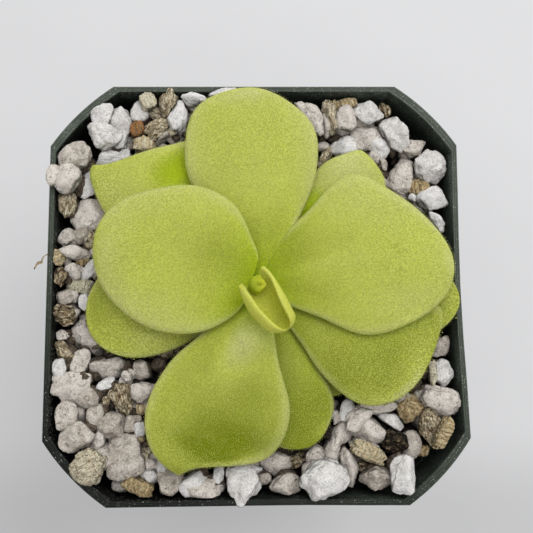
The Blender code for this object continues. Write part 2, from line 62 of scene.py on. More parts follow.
class Graph:
    """Adds nodes to a tree: each call makes a node and returns its first or named output."""

    def __init__(self, tree):
        self.tree = tree

    def node(self, kind, inputs=(), **settings):
        made = self.tree.nodes.new(kind)
        for key, value in settings.items():
            setattr(made, key, value)
        for key, value in dict(inputs).items():
            if isinstance(value, bpy.types.NodeSocket):
                self.tree.links.new(value, made.inputs[key])
            else:
                made.inputs[key].default_value = value
        return made

    def feed(self, inputs, **values):
        for socket, value in values.items():
            self.tree.links.new(value, inputs[spaced(socket)])

    def group(self, tree, **values):
        made = self.node("ShaderNodeGroup", node_tree=tree)
        for socket, value in values.items():
            made.inputs[spaced(socket)].default_value = (*value, 1) if isinstance(value, tuple) else value
        return made.outputs

    def math(self, operation, a, b=0.0):
        return self.node("ShaderNodeMath", {0: a, 1: b}, operation=operation).outputs[0]

    def times(self, a, b):
        return self.math("MULTIPLY", a, b)

    def plus(self, a, b):
        return self.math("ADD", a, b)

    def minus(self, a, b):
        return self.math("SUBTRACT", a, b)

    def clamp(self, value):
        return self.node("ShaderNodeClamp", {0: value}).outputs[0]

    def ramp(self, value, low, high, out_low=0.0, out_high=1.0, curve="SMOOTHSTEP"):
        ports = {"Value": value, "From Min": low, "From Max": high, "To Min": out_low, "To Max": out_high}
        return self.node("ShaderNodeMapRange", ports, interpolation_type=curve).outputs[0]

    def vector(self, operation, inputs):
        made = self.node("ShaderNodeVectorMath", inputs, operation=operation)
        return made.outputs["Value" if operation == "DOT_PRODUCT" else 0]

    def scaled(self, vector, factor):
        return self.vector("SCALE", {0: vector, 3: factor})

    def along(self, vector, direction):
        return self.vector("DOT_PRODUCT", {0: vector, 1: direction})

    def split(self, vector):
        return self.node("ShaderNodeSeparateXYZ", {0: vector}).outputs

    def stretched(self, vector, scale):
        return self.node("ShaderNodeMapping", {"Vector": vector, "Scale": scale}).outputs[0]

    def place(self):
        return self.node("ShaderNodeTexCoord").outputs["Object"]

    def mark(self, name, output="Fac"):
        return self.node("ShaderNodeAttribute", attribute_name=name).outputs[output]

    def mix(self, factor, a, b):
        ports = {0: factor, 6: a, 7: b}
        return self.node("ShaderNodeMix", ports, data_type="RGBA").outputs[2]

    def noise(self, where, scale, detail=2.0, roughness=0.5):
        ports = {"Vector": where, "Scale": scale, "Detail": detail, "Roughness": roughness}
        return self.node("ShaderNodeTexNoise", ports).outputs["Fac"]

    def cells(self, where, scale, feature="F1"):
        ports = {"Vector": where, "Scale": scale, "Randomness": 1.0}
        return self.node("ShaderNodeTexVoronoi", ports, feature=feature).outputs["Distance"]

    def bump(self, height, strength, distance):
        ports = {"Height": height, "Strength": strength, "Distance": distance}
        return self.node("ShaderNodeBump", ports).outputs[0]


def new_material(name, colour, roughness, **sockets):
    material = bpy.data.materials.new(name)
    material.use_nodes = True
    shader = material.node_tree.nodes["Principled BSDF"]
    sockets.update(Base_Color=(*colour, 1), Roughness=roughness)
    for socket, value in sockets.items():
        shader.inputs[spaced(socket)].default_value = value
    return material, Graph(material.node_tree), shader.inputs


def new_group(name, inputs, outputs):
    tree = bpy.data.node_groups.new(name, "ShaderNodeTree")
    kinds = {float: "NodeSocketFloat", tuple: "NodeSocketColor", Vector: "NodeSocketVector"}
    for socket, value in inputs.items():
        made = tree.interface.new_socket(name=socket, in_out="INPUT", socket_type=kinds[type(value)])
        made.default_value = (*value, 1) if isinstance(value, tuple) else value
    for socket, kind in outputs.items():
        tree.interface.new_socket(name=socket, in_out="OUTPUT", socket_type=kinds[kind])
    return Graph(tree), tree.nodes.new("NodeGroupInput").outputs, tree.nodes.new("NodeGroupOutput").inputs


print("graph helpers:", [name for name in dir(Graph) if not name.startswith("_")])

# %% [markdown]
# ## Finishing a piece
# Everything is modelled in millimetres. `finish` scales a bmesh to metres, smooths its
# faces, hangs it on the frame's root body, and hides the CAD nodes it stands for. Extruding
# leaves faces in an order that differs from run to run, and a seeded scatter follows that
# order, so faces are sorted first.


# %% Finishing a piece
def add_object(name, data):
    obj = bpy.data.objects.new(name, data)
    scene.collection.objects.link(obj)
    return obj


def to_object(bm, name, scale=MM):
    bmesh.ops.scale(bm, vec=(scale, scale, scale), verts=bm.verts)
    mesh = bpy.data.meshes.new(name)
    bm.to_mesh(mesh)
    bm.free()
    return add_object(name, mesh)


def sort_faces(bm):
    """Puts faces in the order of their points, which is the same in every run."""
    bm.verts.index_update()
    count = len(bm.verts)

    def place(face):
        first, second, third = sorted(vert.index for vert in face.verts)[:3]
        return (first * count + second) * count + third

    bm.faces.sort(key=place)


def finish(bm, name, material, nodes=(), sharp=None):
    sort_faces(bm)
    obj = to_object(bm, name)
    obj.data.materials.append(material)
    obj.data.shade_smooth()
    if sharp:
        obj.data.set_sharp_from_angle(angle=math.radians(sharp))
    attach(obj, "root")
    if nodes:
        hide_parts(*nodes)
    print(name, "faces", len(obj.data.polygons))
    return obj


def applied(obj):
    """The mesh that an object's modifiers make; the modifiers are taken off."""
    graph = bpy.context.evaluated_depsgraph_get()
    mesh = bpy.data.meshes.new_from_object(obj.evaluated_get(graph))
    obj.modifiers.clear()
    return mesh


def smooth_curve(values, at, closing=False):
    """Reads an even row of values at 0 to 1 along a smooth curve, which may close on zero."""
    row = list(values)
    last = -row[-2] if closing else 2 * row[-1] - row[-2]
    row = [2 * row[0] - row[1], *row, last]
    place = min(max(at, 0.0), 1.0) * (len(row) - 3)
    step = min(int(place), len(row) - 4)
    u = place - step
    a, b, c, d = row[step : step + 4]
    return b + 0.5 * u * (c - a + u * (2 * a - 5 * b + 4 * c - d + u * (3 * (b - c) + d - a)))


def smooth_step(low, high, value):
    u = min(max((value - low) / (high - low), 0.0), 1.0)
    return u * u * (3 - 2 * u)


print("halfway along a closing row:", round(smooth_curve((1, 2, 0), 0.5, closing=True), 3))

# %% [markdown]
# ## Camera
# The picture was taken from straight above, about 12 cm over the rim, so the near leaves are
# drawn larger than the pot's foot. Location, turn and focal length come from the eight
# corners of the rim, which show how much the view tips and turns.

# %% Camera
camera = add_object("camera", bpy.data.cameras.new("camera"))
camera.location = (-1.2238 * MM, -11.6965 * MM, 196.4527 * MM)
camera.rotation_euler = [math.radians(turn) for turn in (7.0803, -1.3480, -0.5381)]
camera.data.sensor_width = 36.0
camera.data.lens = 47.28
camera.data.clip_start = 0.01
scene.camera = camera
print("camera lens", camera.data.lens, "mm")

# %% [markdown]
# ## Light and floor
# A pale sweep of paper under a big soft light: shadows are wide and faint, also because the
# paper glows a little, a painted light. The lamp stands towards the upper right, which lights
# the right edge of the rim and leaves the pot's shade on the floor at the lower left. A dim
# world fills the gaps between the stones.

# %% Light and floor
FLOOR_HALF, LAMP_AT, LAMP_AIM, LAMP_SIZE, LAMP_WATTS = 1.5, (0.10, 0.20, 0.42), (0, 0, 0.04), 0.46, 1.27
WORLD_COLOUR, WORLD_STRENGTH = (1.0, 0.995, 0.99, 1), 0.58
# the paper's emission is painted light: the paper glows a little, which lifts its shadows
paper, g, paper_inputs = new_material("paper_sweep", (0.5, 0.5, 0.5), 0.9, Emission_Strength=0.22)
bm = bmesh.new()
bmesh.ops.create_grid(bm, x_segments=2, y_segments=2, size=FLOOR_HALF)
floor = to_object(bm, "floor", scale=1.0)
floor.data.materials.append(paper)

scene.view_settings.view_transform = "Standard"
world = bpy.data.worlds.new("studio")
scene.world = world
world.use_nodes = True
world.node_tree.nodes["Background"].inputs["Color"].default_value = WORLD_COLOUR
world.node_tree.nodes["Background"].inputs["Strength"].default_value = WORLD_STRENGTH
key = add_object("key", bpy.data.lights.new("key", "AREA"))
key.data.shape, key.data.size, key.data.energy = "DISK", LAMP_SIZE, LAMP_WATTS
key.location = LAMP_AT
key.rotation_euler = (Vector(LAMP_AIM) - Vector(LAMP_AT)).to_track_quat("-Z", "Y").to_euler()

# %% [markdown]
# The paper is not one grey. Its colour is painted darker away from the lamp and at the two
# near corners, a painted shade, and is faintly cloudy. One mask does all three and dims both
# its colour and its painted glow.

# %% Paper tone
PAPER, PAPER_PAINTED_GLOW = (0.52, 0.523, 0.53), (1.0, 1.0, 1.02)
TO_LAMP = (0.45, 0.89, 0.0)
where = g.place()
# painted shade: the paper's colour darkens away from the lamp
falloff = g.ramp(g.along(where, TO_LAMP), -0.09, 0.04, 0.90, 0.99)
cloudy = g.ramp(g.noise(where, 14.0, 4.0, 0.6), 0.3, 0.7, 0.985, 1.01)
spot = g.split(where)
# painted shade at the two near corners of the paper
sideways = g.ramp(g.math("ABSOLUTE", spot["X"]), 0.022, 0.060, 0.0, 0.14)
corner = g.times(sideways, g.ramp(spot["Y"], -0.030, -0.055))
# the mask: painted shade, times the paper's own faint cloudiness
painted_shade_and_tone = g.times(g.times(falloff, cloudy), g.minus(1.0, corner))
g.feed(paper_inputs, Base_Color=g.scaled(PAPER, painted_shade_and_tone), Emission_Color=g.scaled(PAPER_PAINTED_GLOW, painted_shade_and_tone))
print("paper nodes", len(g.tree.nodes))

# %% [markdown]
# ## Leaf tone
# Effects that finishes can share are node groups with named sockets: `leaf_tone` here,
# `settled_dust` and `stone_grain` further on. `leaf_tone` mixes the greens of a leaf:
# greener at its foot, yellower over the blade, pale and thin at the margin. It reads the
# leaf's UV map, which runs from stem to tip and from right to left, and three marks on the
# leaf's points: `depth` of the green, which is partly the leaf's own tone and partly painted
# shade, `frost` of glands, and `lit`, painted light.

# %% Leaf tone group
FROST_COLOUR = (0.73, 0.79, 0.19, 1)
g, given, out = new_group(
    "leaf_tone",
    {
        "Blade": (0.45, 0.52, 0.06), "Foot": (0.25, 0.38, 0.03), "Deep": (0.18, 0.225, 0.0),
        "Margin": (0.62, 0.66, 0.22), "Margin width": 0.10, "Foot reach": 0.42, "Mottle": 0.25, "Frost": 0.3,
    },
    {"Color": tuple, "Height": float, "Roughness": float},
)
tone_group = g.tree
place = g.node("ShaderNodeTexCoord").outputs
spot = g.split(place["UV"])
across = g.math("ABSOLUTE", g.times(g.minus(spot["Y"], 0.5), 2.0))
to_margin = g.math("MAXIMUM", across, g.ramp(spot["X"], 0.82, 1.0))
wander = g.times(g.minus(g.noise(place["Object"], 160.0), 0.5), 0.12)
margin = g.ramp(g.plus(to_margin, wander), g.minus(1.0, given["Margin width"]), 1.03, curve="SMOOTHERSTEP")
wide = g.noise(place["Object"], 130.0, 3.0, 0.55)
fine = g.noise(place["Object"], 3300.0, 2.0, 0.6)
depth, cover = g.mark("depth"), g.mark("frost")
foot = g.math("MAXIMUM", g.ramp(spot["X"], given["Foot reach"], 0.05), g.ramp(cover, 0.6, 0.2))
body = g.mix(foot, given["Blade"], given["Foot"])
# depth darkens the green: partly the leaf's own tone, partly painted shade; below zero it pales it, partly
# pale margins and partly painted light
body = g.mix(g.clamp(depth), body, given["Deep"])
body = g.mix(g.times(g.clamp(g.times(depth, -1.0)), 0.8), body, given["Margin"])
bright = g.plus(1.0, g.times(g.minus(wide, 0.5), given["Mottle"]))
bare_skin = g.times(g.minus(fine, 0.5), g.ramp(cover, 0.95, 0.4, 0.05, 0.8))
thick_frost = g.times(g.minus(fine, 0.5), g.ramp(cover, 0.9, 1.2, 0.0, 0.5))
# lit adds painted light: the colour is brightened where a leaf above casts its shadow
bright = g.plus(g.plus(bright, g.plus(bare_skin, thick_frost)), g.mark("lit"))
body = g.mix(g.times(margin, 0.5), g.scaled(body, bright), given["Margin"])
frost = g.times(cover, given["Frost"])
dot = g.ramp(g.cells(place["Object"], 3000.0), 0.40, 0.10)
frosted = g.times(g.plus(g.times(dot, 0.7), g.minus(fine, 0.5)), frost)
body = g.mix(g.clamp(frosted), body, FROST_COLOUR)
between = g.times(g.minus(1.0, dot), g.ramp(fine, 0.62, 0.36))
body = g.mix(g.times(between, g.times(frost, 0.75)), body, given["Deep"])
g.feed(out, Color=body, Height=g.plus(dot, fine), Roughness=g.ramp(dot, 0.0, 1.0, 0.55, 0.28))
print("leaf_tone nodes", len(tone_group.nodes))


# %% [markdown]
# ## Leaf finish
# Leaf flesh is wet and see-through, so light that enters comes out a little way off. The
# Principled shader's subsurface does that. The marks on each leaf paint the rest: what lies in
# the shade of another leaf is painted greener and darker, a painted shade, and where that shade
# falls too dark it is painted lighter again, a painted light.


# %% Leaf finish
def leaf_finish(name, blade, foot, margin, **values):
    material, g, inputs = new_material(
        name, blade, 0.5, Subsurface_Weight=0.6, Subsurface_Scale=0.0011,
        Subsurface_Radius=(1.0, 0.9, 0.25), Specular_IOR_Level=0.12,
    )
    tone = g.group(tone_group, Blade=blade, Foot=foot, Margin=margin, Margin_width=0.22, **values)
    rise = g.bump(tone["Height"], 0.35, 0.00006)
    g.feed(inputs, Base_Color=tone["Color"], Roughness=tone["Roughness"], Normal=rise)
    return material


leaf_flesh = leaf_finish(
    "leaf_flesh", (0.515, 0.555, 0.105), (0.337, 0.432, 0.0015), (0.60, 0.62, 0.27),
    Foot_reach=0.5, Frost=0.48,
)
young_flesh = leaf_finish(
    "young_leaf_flesh", (0.55, 0.56, 0.045), (0.52, 0.54, 0.04), (0.60, 0.62, 0.15),
    Deep=(0.16, 0.27, 0.005), Frost=0.25,
)
print("leaf finishes:", leaf_flesh.name, young_flesh.name)

# %% [markdown]
# ## Leaf blades
# A blade could be drawn as an outline and filled, but its face has to dome, droop and dip.
# Here a flat grid is mapped by a rule: one direction runs from stem to tip, the other from
# margin to margin. The rows of half widths are the outline; heights and falls shape the face.
# `lit`, `bare`, `swells` and the patches that change `depth` are soft patches: place along and
# across, spread of each, and amount. `depth` is how strong the green is overall, from pale -1 to
# dark 1. It and its patches are partly the leaf's own tone and partly painted: darker where
# another leaf shades this one, which gives the lower leaves their higher `depth`, and paler where
# such a shade falls too dark. `lit` is painted light, brightening the colour where a leaf above
# casts its shadow, and painted shade where it is below zero. `bare` is free of glands.

# %% Leaf measures
AXIS = Vector((1.0, 1.0))
PLAIN_LEAF = dict(start=3.5, bow=0.0, ridge=0.0, frost=1.0, bare=(), lit=(), swells=())
LEAVES = {
    "leaf_north": dict(
        heading=94, reach=36, start=1.6, bow=-1.4, ridge=0.3, left=(2.3, 3.2, 5.7, 12.8, 12.8, 8.9),
        right=(2.3, 3, 6.1, 9.9, 10.7, 6.1), heights=(71, 72.6, 73.6, 73.6), falls=(0.9, 1.1, 1.4),
        depth=-0.05,
        deep=(
            (0.88, 0, 0.07, 0.9, -1), (0.45, 0.1, 0.1, 0.5, -0.12), (0.6, -0.9, 0.3, 0.25, -0.4),
            (0.31, 0, 0.15, 1, 0.35), (0.6, 0.9, 0.3, 0.2, -0.3),
        ),
    ),
    "leaf_west": dict(
        heading=163, reach=30.5, start=1.7, bow=1, left=(3, 7.8, 11.5, 12.5, 10.5, 6.2),
        right=(3, 6.7, 12.6, 13.8, 10.6, 6), heights=(73.4, 75.2, 76.2, 76), falls=(1.1, 1.2, 2),
        depth=0.05,
        deep=(
            (0.35, -0.27, 0.13, 0.35, 0.35), (0.8, 0, 0.12, 0.9, -0.4), (0.5, -0.9, 0.3, 0.25, -0.2),
            (0.45, 0.95, 0.3, 0.25, -0.4), (0.18, -0.3, 0.1, 0.5, 0.12),
            (0.72, -0.75, 0.15, 0.3, -0.3), (0.68, 0.85, 0.12, 0.3, -0.35),
            (0.48, 0.65, 0.15, 0.25, -0.2), (0.78, 0.45, 0.08, 0.35, -0.35),
            (0.88, -0.7, 0.08, 0.3, -0.5),
        ),
    ),
    "leaf_east": dict(
        heading=5, reach=34.5, start=0.4, bow=0.5, ridge=0.4, left=(3.2, 6.4, 11.2, 17.4, 12.8, 6.4),
        right=(2.3, 3.8, 7.3, 11.7, 10, 5.8), heights=(71, 73.4, 74.6, 74.2), falls=(1.2, 0.9, 1.4),
        depth=0,
        deep=(
            (0.12, 0.2, 0.12, 0.6, 0.3), (0.36, 0.13, 0.14, 0.1, -0.25), (0.27, 0.3, 0.09, 0.3, 0.25),
            (0.34, 0.47, 0.14, 0.18, 0.08), (0.31, -0.4, 0.12, 0.2, 0.22),
            (0.53, 0.8, 0.15, 0.3, -0.35), (0.85, 0.3, 0.1, 0.6, -0.25), (0.25, 0.8, 0.08, 0.3, 0.35),
            (0.34, 0.8, 0.08, 0.2, 0.1), (0.7, -0.65, 0.15, 0.3, -0.4), (0.92, 0.1, 0.06, 1, -0.8),
            (0.78, 0.95, 0.12, 0.15, -0.9), (0.42, 0.3, 0.08, 0.25, 0.15),
        ),
        lit=((0.66, -0.97, 0.05, 0.12, 0.25),),
    ),
    "leaf_southwest": dict(
        heading=246, reach=36.5, start=3.1, bow=0.4, ridge=0.2, left=(2.3, 4.1, 7.8, 13.5, 12.5, 2.5),
        right=(2.3, 4.4, 6, 9.6, 10, 6.4), heights=(71, 72.9, 73.3, 72.5), falls=(1.2, 1.2, 1.2),
        depth=0.24, frost=1.15,
        deep=(
            (0.35, -0.05, 0.12, 0.3, -0.75), (0.34, 0.25, 0.08, 0.3, -0.8),
            (0.2, 0.3, 0.12, 0.8, -0.24), (0.64, 0.27, 0.08, 0.4, 0.5), (0.68, -0.13, 0.08, 0.3, 0.25),
            (0.73, 0.1, 0.04, 0.5, 0.6), (0.53, 0.85, 0.2, 0.2, 0.1), (0.46, 0.45, 0.09, 0.3, 0.35),
            (0.55, 0.65, 0.1, 0.25, 0.08), (0.42, -0.35, 0.07, 0.3, 0.25), (0.67, 0.6, 0.04, 0.3, 0.3),
            (0.8, 0.4, 0.05, 0.6, 0.4), (0.73, 0.52, 0.035, 0.28, 0.8), (0.9, 0, 0.05, 0.5, 0.3),
            (0.5, -0.8, 0.3, 0.3, 0.1), (0.3, 0.8, 0.1, 0.3, -0.4), (0.62, -0.95, 0.15, 0.15, -0.3),
            (0.55, 0.15, 0.1, 0.5, 0.12), (0.71, 0.95, 0.05, 0.12, -1.2),
            (0.77, 0.8, 0.03, 0.15, -0.8), (0.81, 0.6, 0.025, 0.2, -0.4),
            (0.27, 0.45, 0.06, 0.3, -0.4), (0.62, 0.6, 0.05, 0.25, 0.3),
        ),
        lit=(
            (0.23, -0.1, 0.05, 0.6, 0.3), (0.29, 0.35, 0.04, 0.3, 0.35),
            (0.62, 0.85, 0.05, 0.2, -0.25), (0.78, 0.67, 0.03, 0.2, -0.2),
        ),
        bare=((0.755, 0.3, 0.04, 0.6, -0.7),),
        swells=((0.66, 0.05, 0.13, 0.5, -0.9), (0.86, 0.3, 0.06, 0.6, 0.5)),
    ),
    "leaf_southeast": dict(
        heading=-29, reach=33, start=3.3, bow=-0.6, left=(1.9, 3.2, 4.9, 6.9, 10.1, 10.9),
        right=(1.9, 3.1, 5.4, 9, 10.2, 6.7), heights=(69.3, 70.8, 71.9, 72.1), falls=(0.1, 0.6, 0.6),
        depth=0.56, frost=1.6,
        deep=(
            (0.38, -0.3, 0.08, 0.4, -0.35), (0.37, 0, 0.14, 0.6, 0.2), (0.81, 0.2, 0.12, 0.5, -0.35),
            (0.72, -0.9, 0.15, 0.2, -0.35), (0.56, -0.87, 0.1, 0.25, 0.25),
            (0.7, 0.05, 0.07, 0.4, 0.2), (0.91, -0.45, 0.08, 0.65, -1.4),
            (0.86, -0.9, 0.08, 0.35, -1.2),
        ),
        lit=((0.5, 0, 0.08, 0.2, 0.25), (0.58, 0.22, 0.06, 0.2, 0.3), (0.66, 0.4, 0.06, 0.2, 0.15)),
    ),
    "leaf_south": dict(
        heading=-75, reach=30.4, bow=0.8, left=(1.3, 2.2, 3.5, 5, 6.2, 3.7),
        right=(1.3, 2.6, 5, 6.8, 6.8, 5.2), heights=(67.9, 69.1, 70.1, 70.2), falls=(0.7, 0.5, 0.8),
        depth=0.85, frost=1.35,
        deep=((0.83, 0.87, 0.06, 0.3, -0.4), (0.42, 0.1, 0.15, 0.8, -0.3), (0.8, 0.6, 0.1, 0.4, -0.15)),
        lit=(
            (0.5, 0.57, 0.08, 0.3, 0.25), (0.34, 0.43, 0.08, 0.3, 0.1), (0.58, 0.92, 0.06, 0.2, 0.3),
            (0.25, 0.9, 0.05, 0.3, 0.3),
        ),
    ),
    "leaf_northwest": dict(
        heading=145, reach=38, left=(1.2, 2, 4.5, 6.4, 6.2, 3), right=(1.4, 3.7, 11, 18.5, 10.8, 2.4),
        heights=(67.8, 69.2, 70.4, 70.4), falls=(0.7, 0.7, 0.8), depth=-0.1, frost=1.3,
        deep=((0.61, -0.6, 0.08, 0.5, 0.2), (0.72, 0.4, 0.12, 0.5, -0.3)),
        lit=((0.54, -0.43, 0.06, 0.25, 0.3),),
        bare=((0.56, -0.55, 0.18, 0.75, 0.84),),
    ),
    "leaf_west_low": dict(
        heading=193, reach=32.3, bow=-0.2, left=(1.3, 2.8, 5.7, 8.1, 8, 4.9),
        right=(1.2, 2.1, 4.4, 8, 9.3, 6), heights=(67.6, 69, 69.9, 70), falls=(0.7, 0.7, 0.8),
        depth=0.1, frost=1.35,
        deep=(
            (0.58, 0.6, 0.12, 0.3, -0.5), (0.82, -0.35, 0.08, 0.5, 0.35), (0.85, -0.3, 0.1, 0.5, 0.1),
        ),
        lit=(
            (0.74, -0.33, 0.06, 0.25, 0.28), (0.68, 0.1, 0.05, 0.25, 0.4), (0.6, 0.5, 0.06, 0.25, 0.2),
            (0.5, 0.7, 0.09, 0.3, 0.25), (0.4, 0.95, 0.06, 0.2, 0.05), (0.8, 0.95, 0.05, 0.2, 0.3),
        ),
    ),
    "leaf_northeast": dict(
        heading=52, reach=31.2, bow=-0.2, left=(1.3, 2.4, 4.1, 4.7, 4.8, 2.2),
        right=(1.3, 2.5, 5.2, 8.2, 9, 6.3), heights=(67.8, 69, 70.2, 70.3), falls=(0.7, 0.6, 0.9),
        depth=-0.2,
        deep=((0.78, 0.3, 0.14, 0.8, -0.95), (0.42, 0.4, 0.12, 0.7, 0.25)),
        lit=((0.48, 0.5, 0.06, 0.3, 0.35),),
        bare=((0.46, 0.4, 0.15, 0.8, 0.97),),
    ),
    "leaf_east_low": dict(
        heading=-6, reach=35.9, left=(1.2, 2.4, 5, 7.7, 7.9, 4.5), right=(1.2, 2.4, 5.2, 8, 8.4, 4.6),
        heights=(67.6, 68.5, 69.5, 70.8), falls=(0.3, 0.3, 0), depth=0.45, frost=1.5,
        deep=((0.9, 0, 0.1, 1, -0.4),),
    ),
    "leaf_southeast_low": dict(
        heading=-55, reach=24.6, left=(1.1, 1.6, 2.6, 3.6, 3.8, 2.2),
        right=(1.1, 1.6, 2.5, 3.4, 3.6, 2.2), heights=(66.4, 66.9, 67.4, 67.8), falls=(0.2, 0.2, 0.3),
        depth=0.5,
        deep=(),
    ),
}
LEAVES = {name: {**PLAIN_LEAF, **leaf} for name, leaf in LEAVES.items()}
print("leaves:", len(LEAVES))

# %% [markdown]
# Two rules shape every blade. `leaf_point` says where the middle of the flesh lies at any
# place on the grid, and `half_thickness` how far the upper and lower skin stand off from it.
# A sculpted leaf would need eleven sculptures; a rule needs eleven rows of measures.


# %% Leaf surface rule
TIP_HALF, BLADE_FULL = 0.35, 0.42


def patches_at(patches, x, t):
    """Sum of soft patches, each a place along and across, a spread of each, and a height."""
    total = 0.0
    for at, across, spread, breadth, height in patches:
        total += height * math.exp(-(((x - at) / spread) ** 2) - ((t - across) / breadth) ** 2)
    return total


def leaf_point(leaf, x, t):
    """Where the leaf's middle surface lies, x from 0 at the stem to 1, t from -1 right to 1 left."""
    s = (1 - math.cos(math.pi * x)) / 2
    widths = leaf["left"] if t > 0 else leaf["right"]
    half = max(smooth_curve((*widths, 0.0), x, closing=True), TIP_HALF)
    along = leaf["start"] + (leaf["reach"] - leaf["start"]) * s
    side = t * half + leaf["bow"] * 4 * s * (1 - s)
    end = max(0.0, 2 * x - 1)
    left, right, tip = leaf["falls"]
    fall = (left + right) / 2 * (1 - end) + tip * end + t * (1 - end) * (left - right) / 2
    margin = 1 - (1 - abs(t) ** 2.4) * (1 - end**3)
    z = smooth_curve(leaf["heights"], s) - fall * margin * smooth_step(0.05, 0.45, x)
    z += leaf["ridge"] * math.exp(-((t / 0.3) ** 2) - ((x - 0.28) / 0.16) ** 2)
    z += patches_at(leaf["swells"], x, t)
    angle = math.radians(leaf["heading"])
    ahead, left_of = Vector((math.cos(angle), math.sin(angle))), Vector((-math.sin(angle), math.cos(angle)))
    plan = AXIS + ahead * along + left_of * side
    return Vector((plan.x, plan.y, z))


def half_thickness(x, t, edge):
    """Full over the blade, falling to a thin rounded edge at the margins and the tip."""
    out = max(abs(t) ** 9, max(0.0, x) ** 26)
    return edge + (BLADE_FULL - edge) * math.sqrt(max(0.0, 1 - out))


def closed_blade(rows, columns, point_at, edge, **marks):
    """A closed blade with a UV map: a grid, extruded once, then mapped by point_at(x, t, side)."""
    bm = bmesh.new()
    uv = bm.loops.layers.uv.new("UVMap")
    layers = [(bm.verts.layers.float.new(mark), rule) for mark, rule in marks.items()]
    bmesh.ops.create_grid(bm, x_segments=rows, y_segments=columns, size=1.0)
    for face in bm.faces:
        face.normal_flip()
    sunk = bmesh.ops.extrude_face_region(bm, geom=bm.faces[:])["geom"]
    for vert in (item for item in sunk if isinstance(item, bmesh.types.BMVert)):
        vert.co.z = -1
    bmesh.ops.recalc_face_normals(bm, faces=bm.faces)
    for face in bm.faces:
        for loop in face.loops:
            loop[uv].uv = ((loop.vert.co.x + 1) / 2, (loop.vert.co.y + 1) / 2)
    for vert in bm.verts:
        x, t = (vert.co.x + 1) / 2, vert.co.y
        side = -1 if vert.co.z < -0.5 else 1
        for layer, rule in layers:
            vert[layer] = rule(x, t)
        vert.co = point_at(x, t, side * half_thickness(x, t, edge))
    bmesh.ops.recalc_face_normals(bm, faces=bm.faces)
    return bm


north_tip = leaf_point(LEAVES["leaf_north"], 1.0, 0.0)
print("tip of the north leaf:", north_tip.to_tuple(1), "half thick", half_thickness(0.5, 0.0, 0.07))

# %% [markdown]
# ## The eleven open leaves
# Each row of measures becomes one closed blade. Its points carry their marks with them: the
# finish reads the depth of the green, the gland hairs read how thickly they may stand.


# %% Blades
# a leaf's depth mark: its own green plus painted shade where another leaf shades it, and painted light where
# that shade falls too dark
def leaf_tone_and_shade(leaf, x, t):
    return leaf["depth"] + patches_at(leaf["deep"], x, t)


def leaf_frost(leaf, x, t):
    """How thickly the glands stand: thin at the foot, thicker outwards and at the margins."""
    outward = max(smooth_step(0.1, 0.62, x), 0.6 * smooth_step(0.6, 1.0, abs(t)))
    bare = patches_at(leaf["bare"], x, t)
    shaded = 0.3 * min(max(leaf_tone_and_shade(leaf, x, t), 0.0), 1.0)
    return leaf["frost"] * (0.35 + 0.65 * outward) * (1 - bare) * (1 - shaded)


for name, leaf in LEAVES.items():
    bm = closed_blade(
        56, 34, lambda x, t, h: leaf_point(leaf, x, t) + Vector((0, 0, h)), edge=0.07,
        depth=lambda x, t: leaf_tone_and_shade(leaf, x, t), frost=lambda x, t: leaf_frost(leaf, x, t),
        # lit: painted light where a leaf above casts its shadow on this one
        lit=lambda x, t: patches_at(leaf["lit"], x, t),
    )
    finish(bm, name + "_blade", leaf_flesh, [name])

# %% [markdown]
# ## Youngest leaf
# The newest leaf is still rolled: a boat-shaped trough whose margins curl in over its floor.
# The same grid is bent round an axis instead of laid flat.

# %% Youngest leaf
TROUGH = dict(
    back=(-0.6, 1.35), tip=(5.2, -7.8), radii=(2.6, 2.9, 2.9, 2.5, 1.85), bow=-0.55,
    floor=(75.65, 75.9, 76.3, 76.8, 77.3), east=(66, 112, 134, 141, 146), west=(118, 138, 143, 147, 150),
)
PROW, PROW_RISE, BACK_CURL, EAST_CURL = 0.84, 1.9, 0.14, 0.06


def trough_point(x, t, h):
    """Where the rolled blade lies: the grid's width runs round the trough's long axis."""
    back, tip = Vector(TROUGH["back"]), Vector(TROUGH["tip"])
    ahead = (tip - back).normalized()
    close = math.sqrt(max(0.02, 1 - (max(0.0, x - PROW) / (1 - PROW)) ** 2))
    radius = smooth_curve(TROUGH["radii"], x) * close
    around = math.radians(smooth_curve(TROUGH["east" if t > 0 else "west"], x)) * t
    reach = radius - h * min(1.0, close + 0.4)
    full_at, blunt = (0.9, 2.2) if t > 0 else (0.75, 1.2)
    curl = BACK_CURL * (1 - x) ** 5 * abs(1 - (t / full_at) ** 2) ** blunt
    along = x + curl - EAST_CURL * max(t, 0.0) * (1 - x) ** 4
    side = reach * math.sin(around) + TROUGH["bow"] * 4 * x * (1 - x)
    plan = back.lerp(tip, along) + Vector((-ahead.y, ahead.x)) * side
    floor = smooth_curve(TROUGH["floor"], x) + PROW_RISE * (1 - close)
    return Vector((plan.x, plan.y, floor + radius - reach * math.cos(around)))


bm = closed_blade(
    44, 52, trough_point, edge=0.16, depth=lambda x, t: -0.35 - 0.25 * smooth_step(0.5, 0.8, abs(t)),
    frost=lambda x, t: abs(t), lit=lambda x, t: 0.0,
)
finish(bm, "young_leaf_blade", young_flesh, ["leaf_young"])

# %% [markdown]
# ## Bud
# A closed leaf tip stands in the trough's open end. It starts as a ball, which is drawn out
# to one side, pinched towards that point, and given shallow folds.

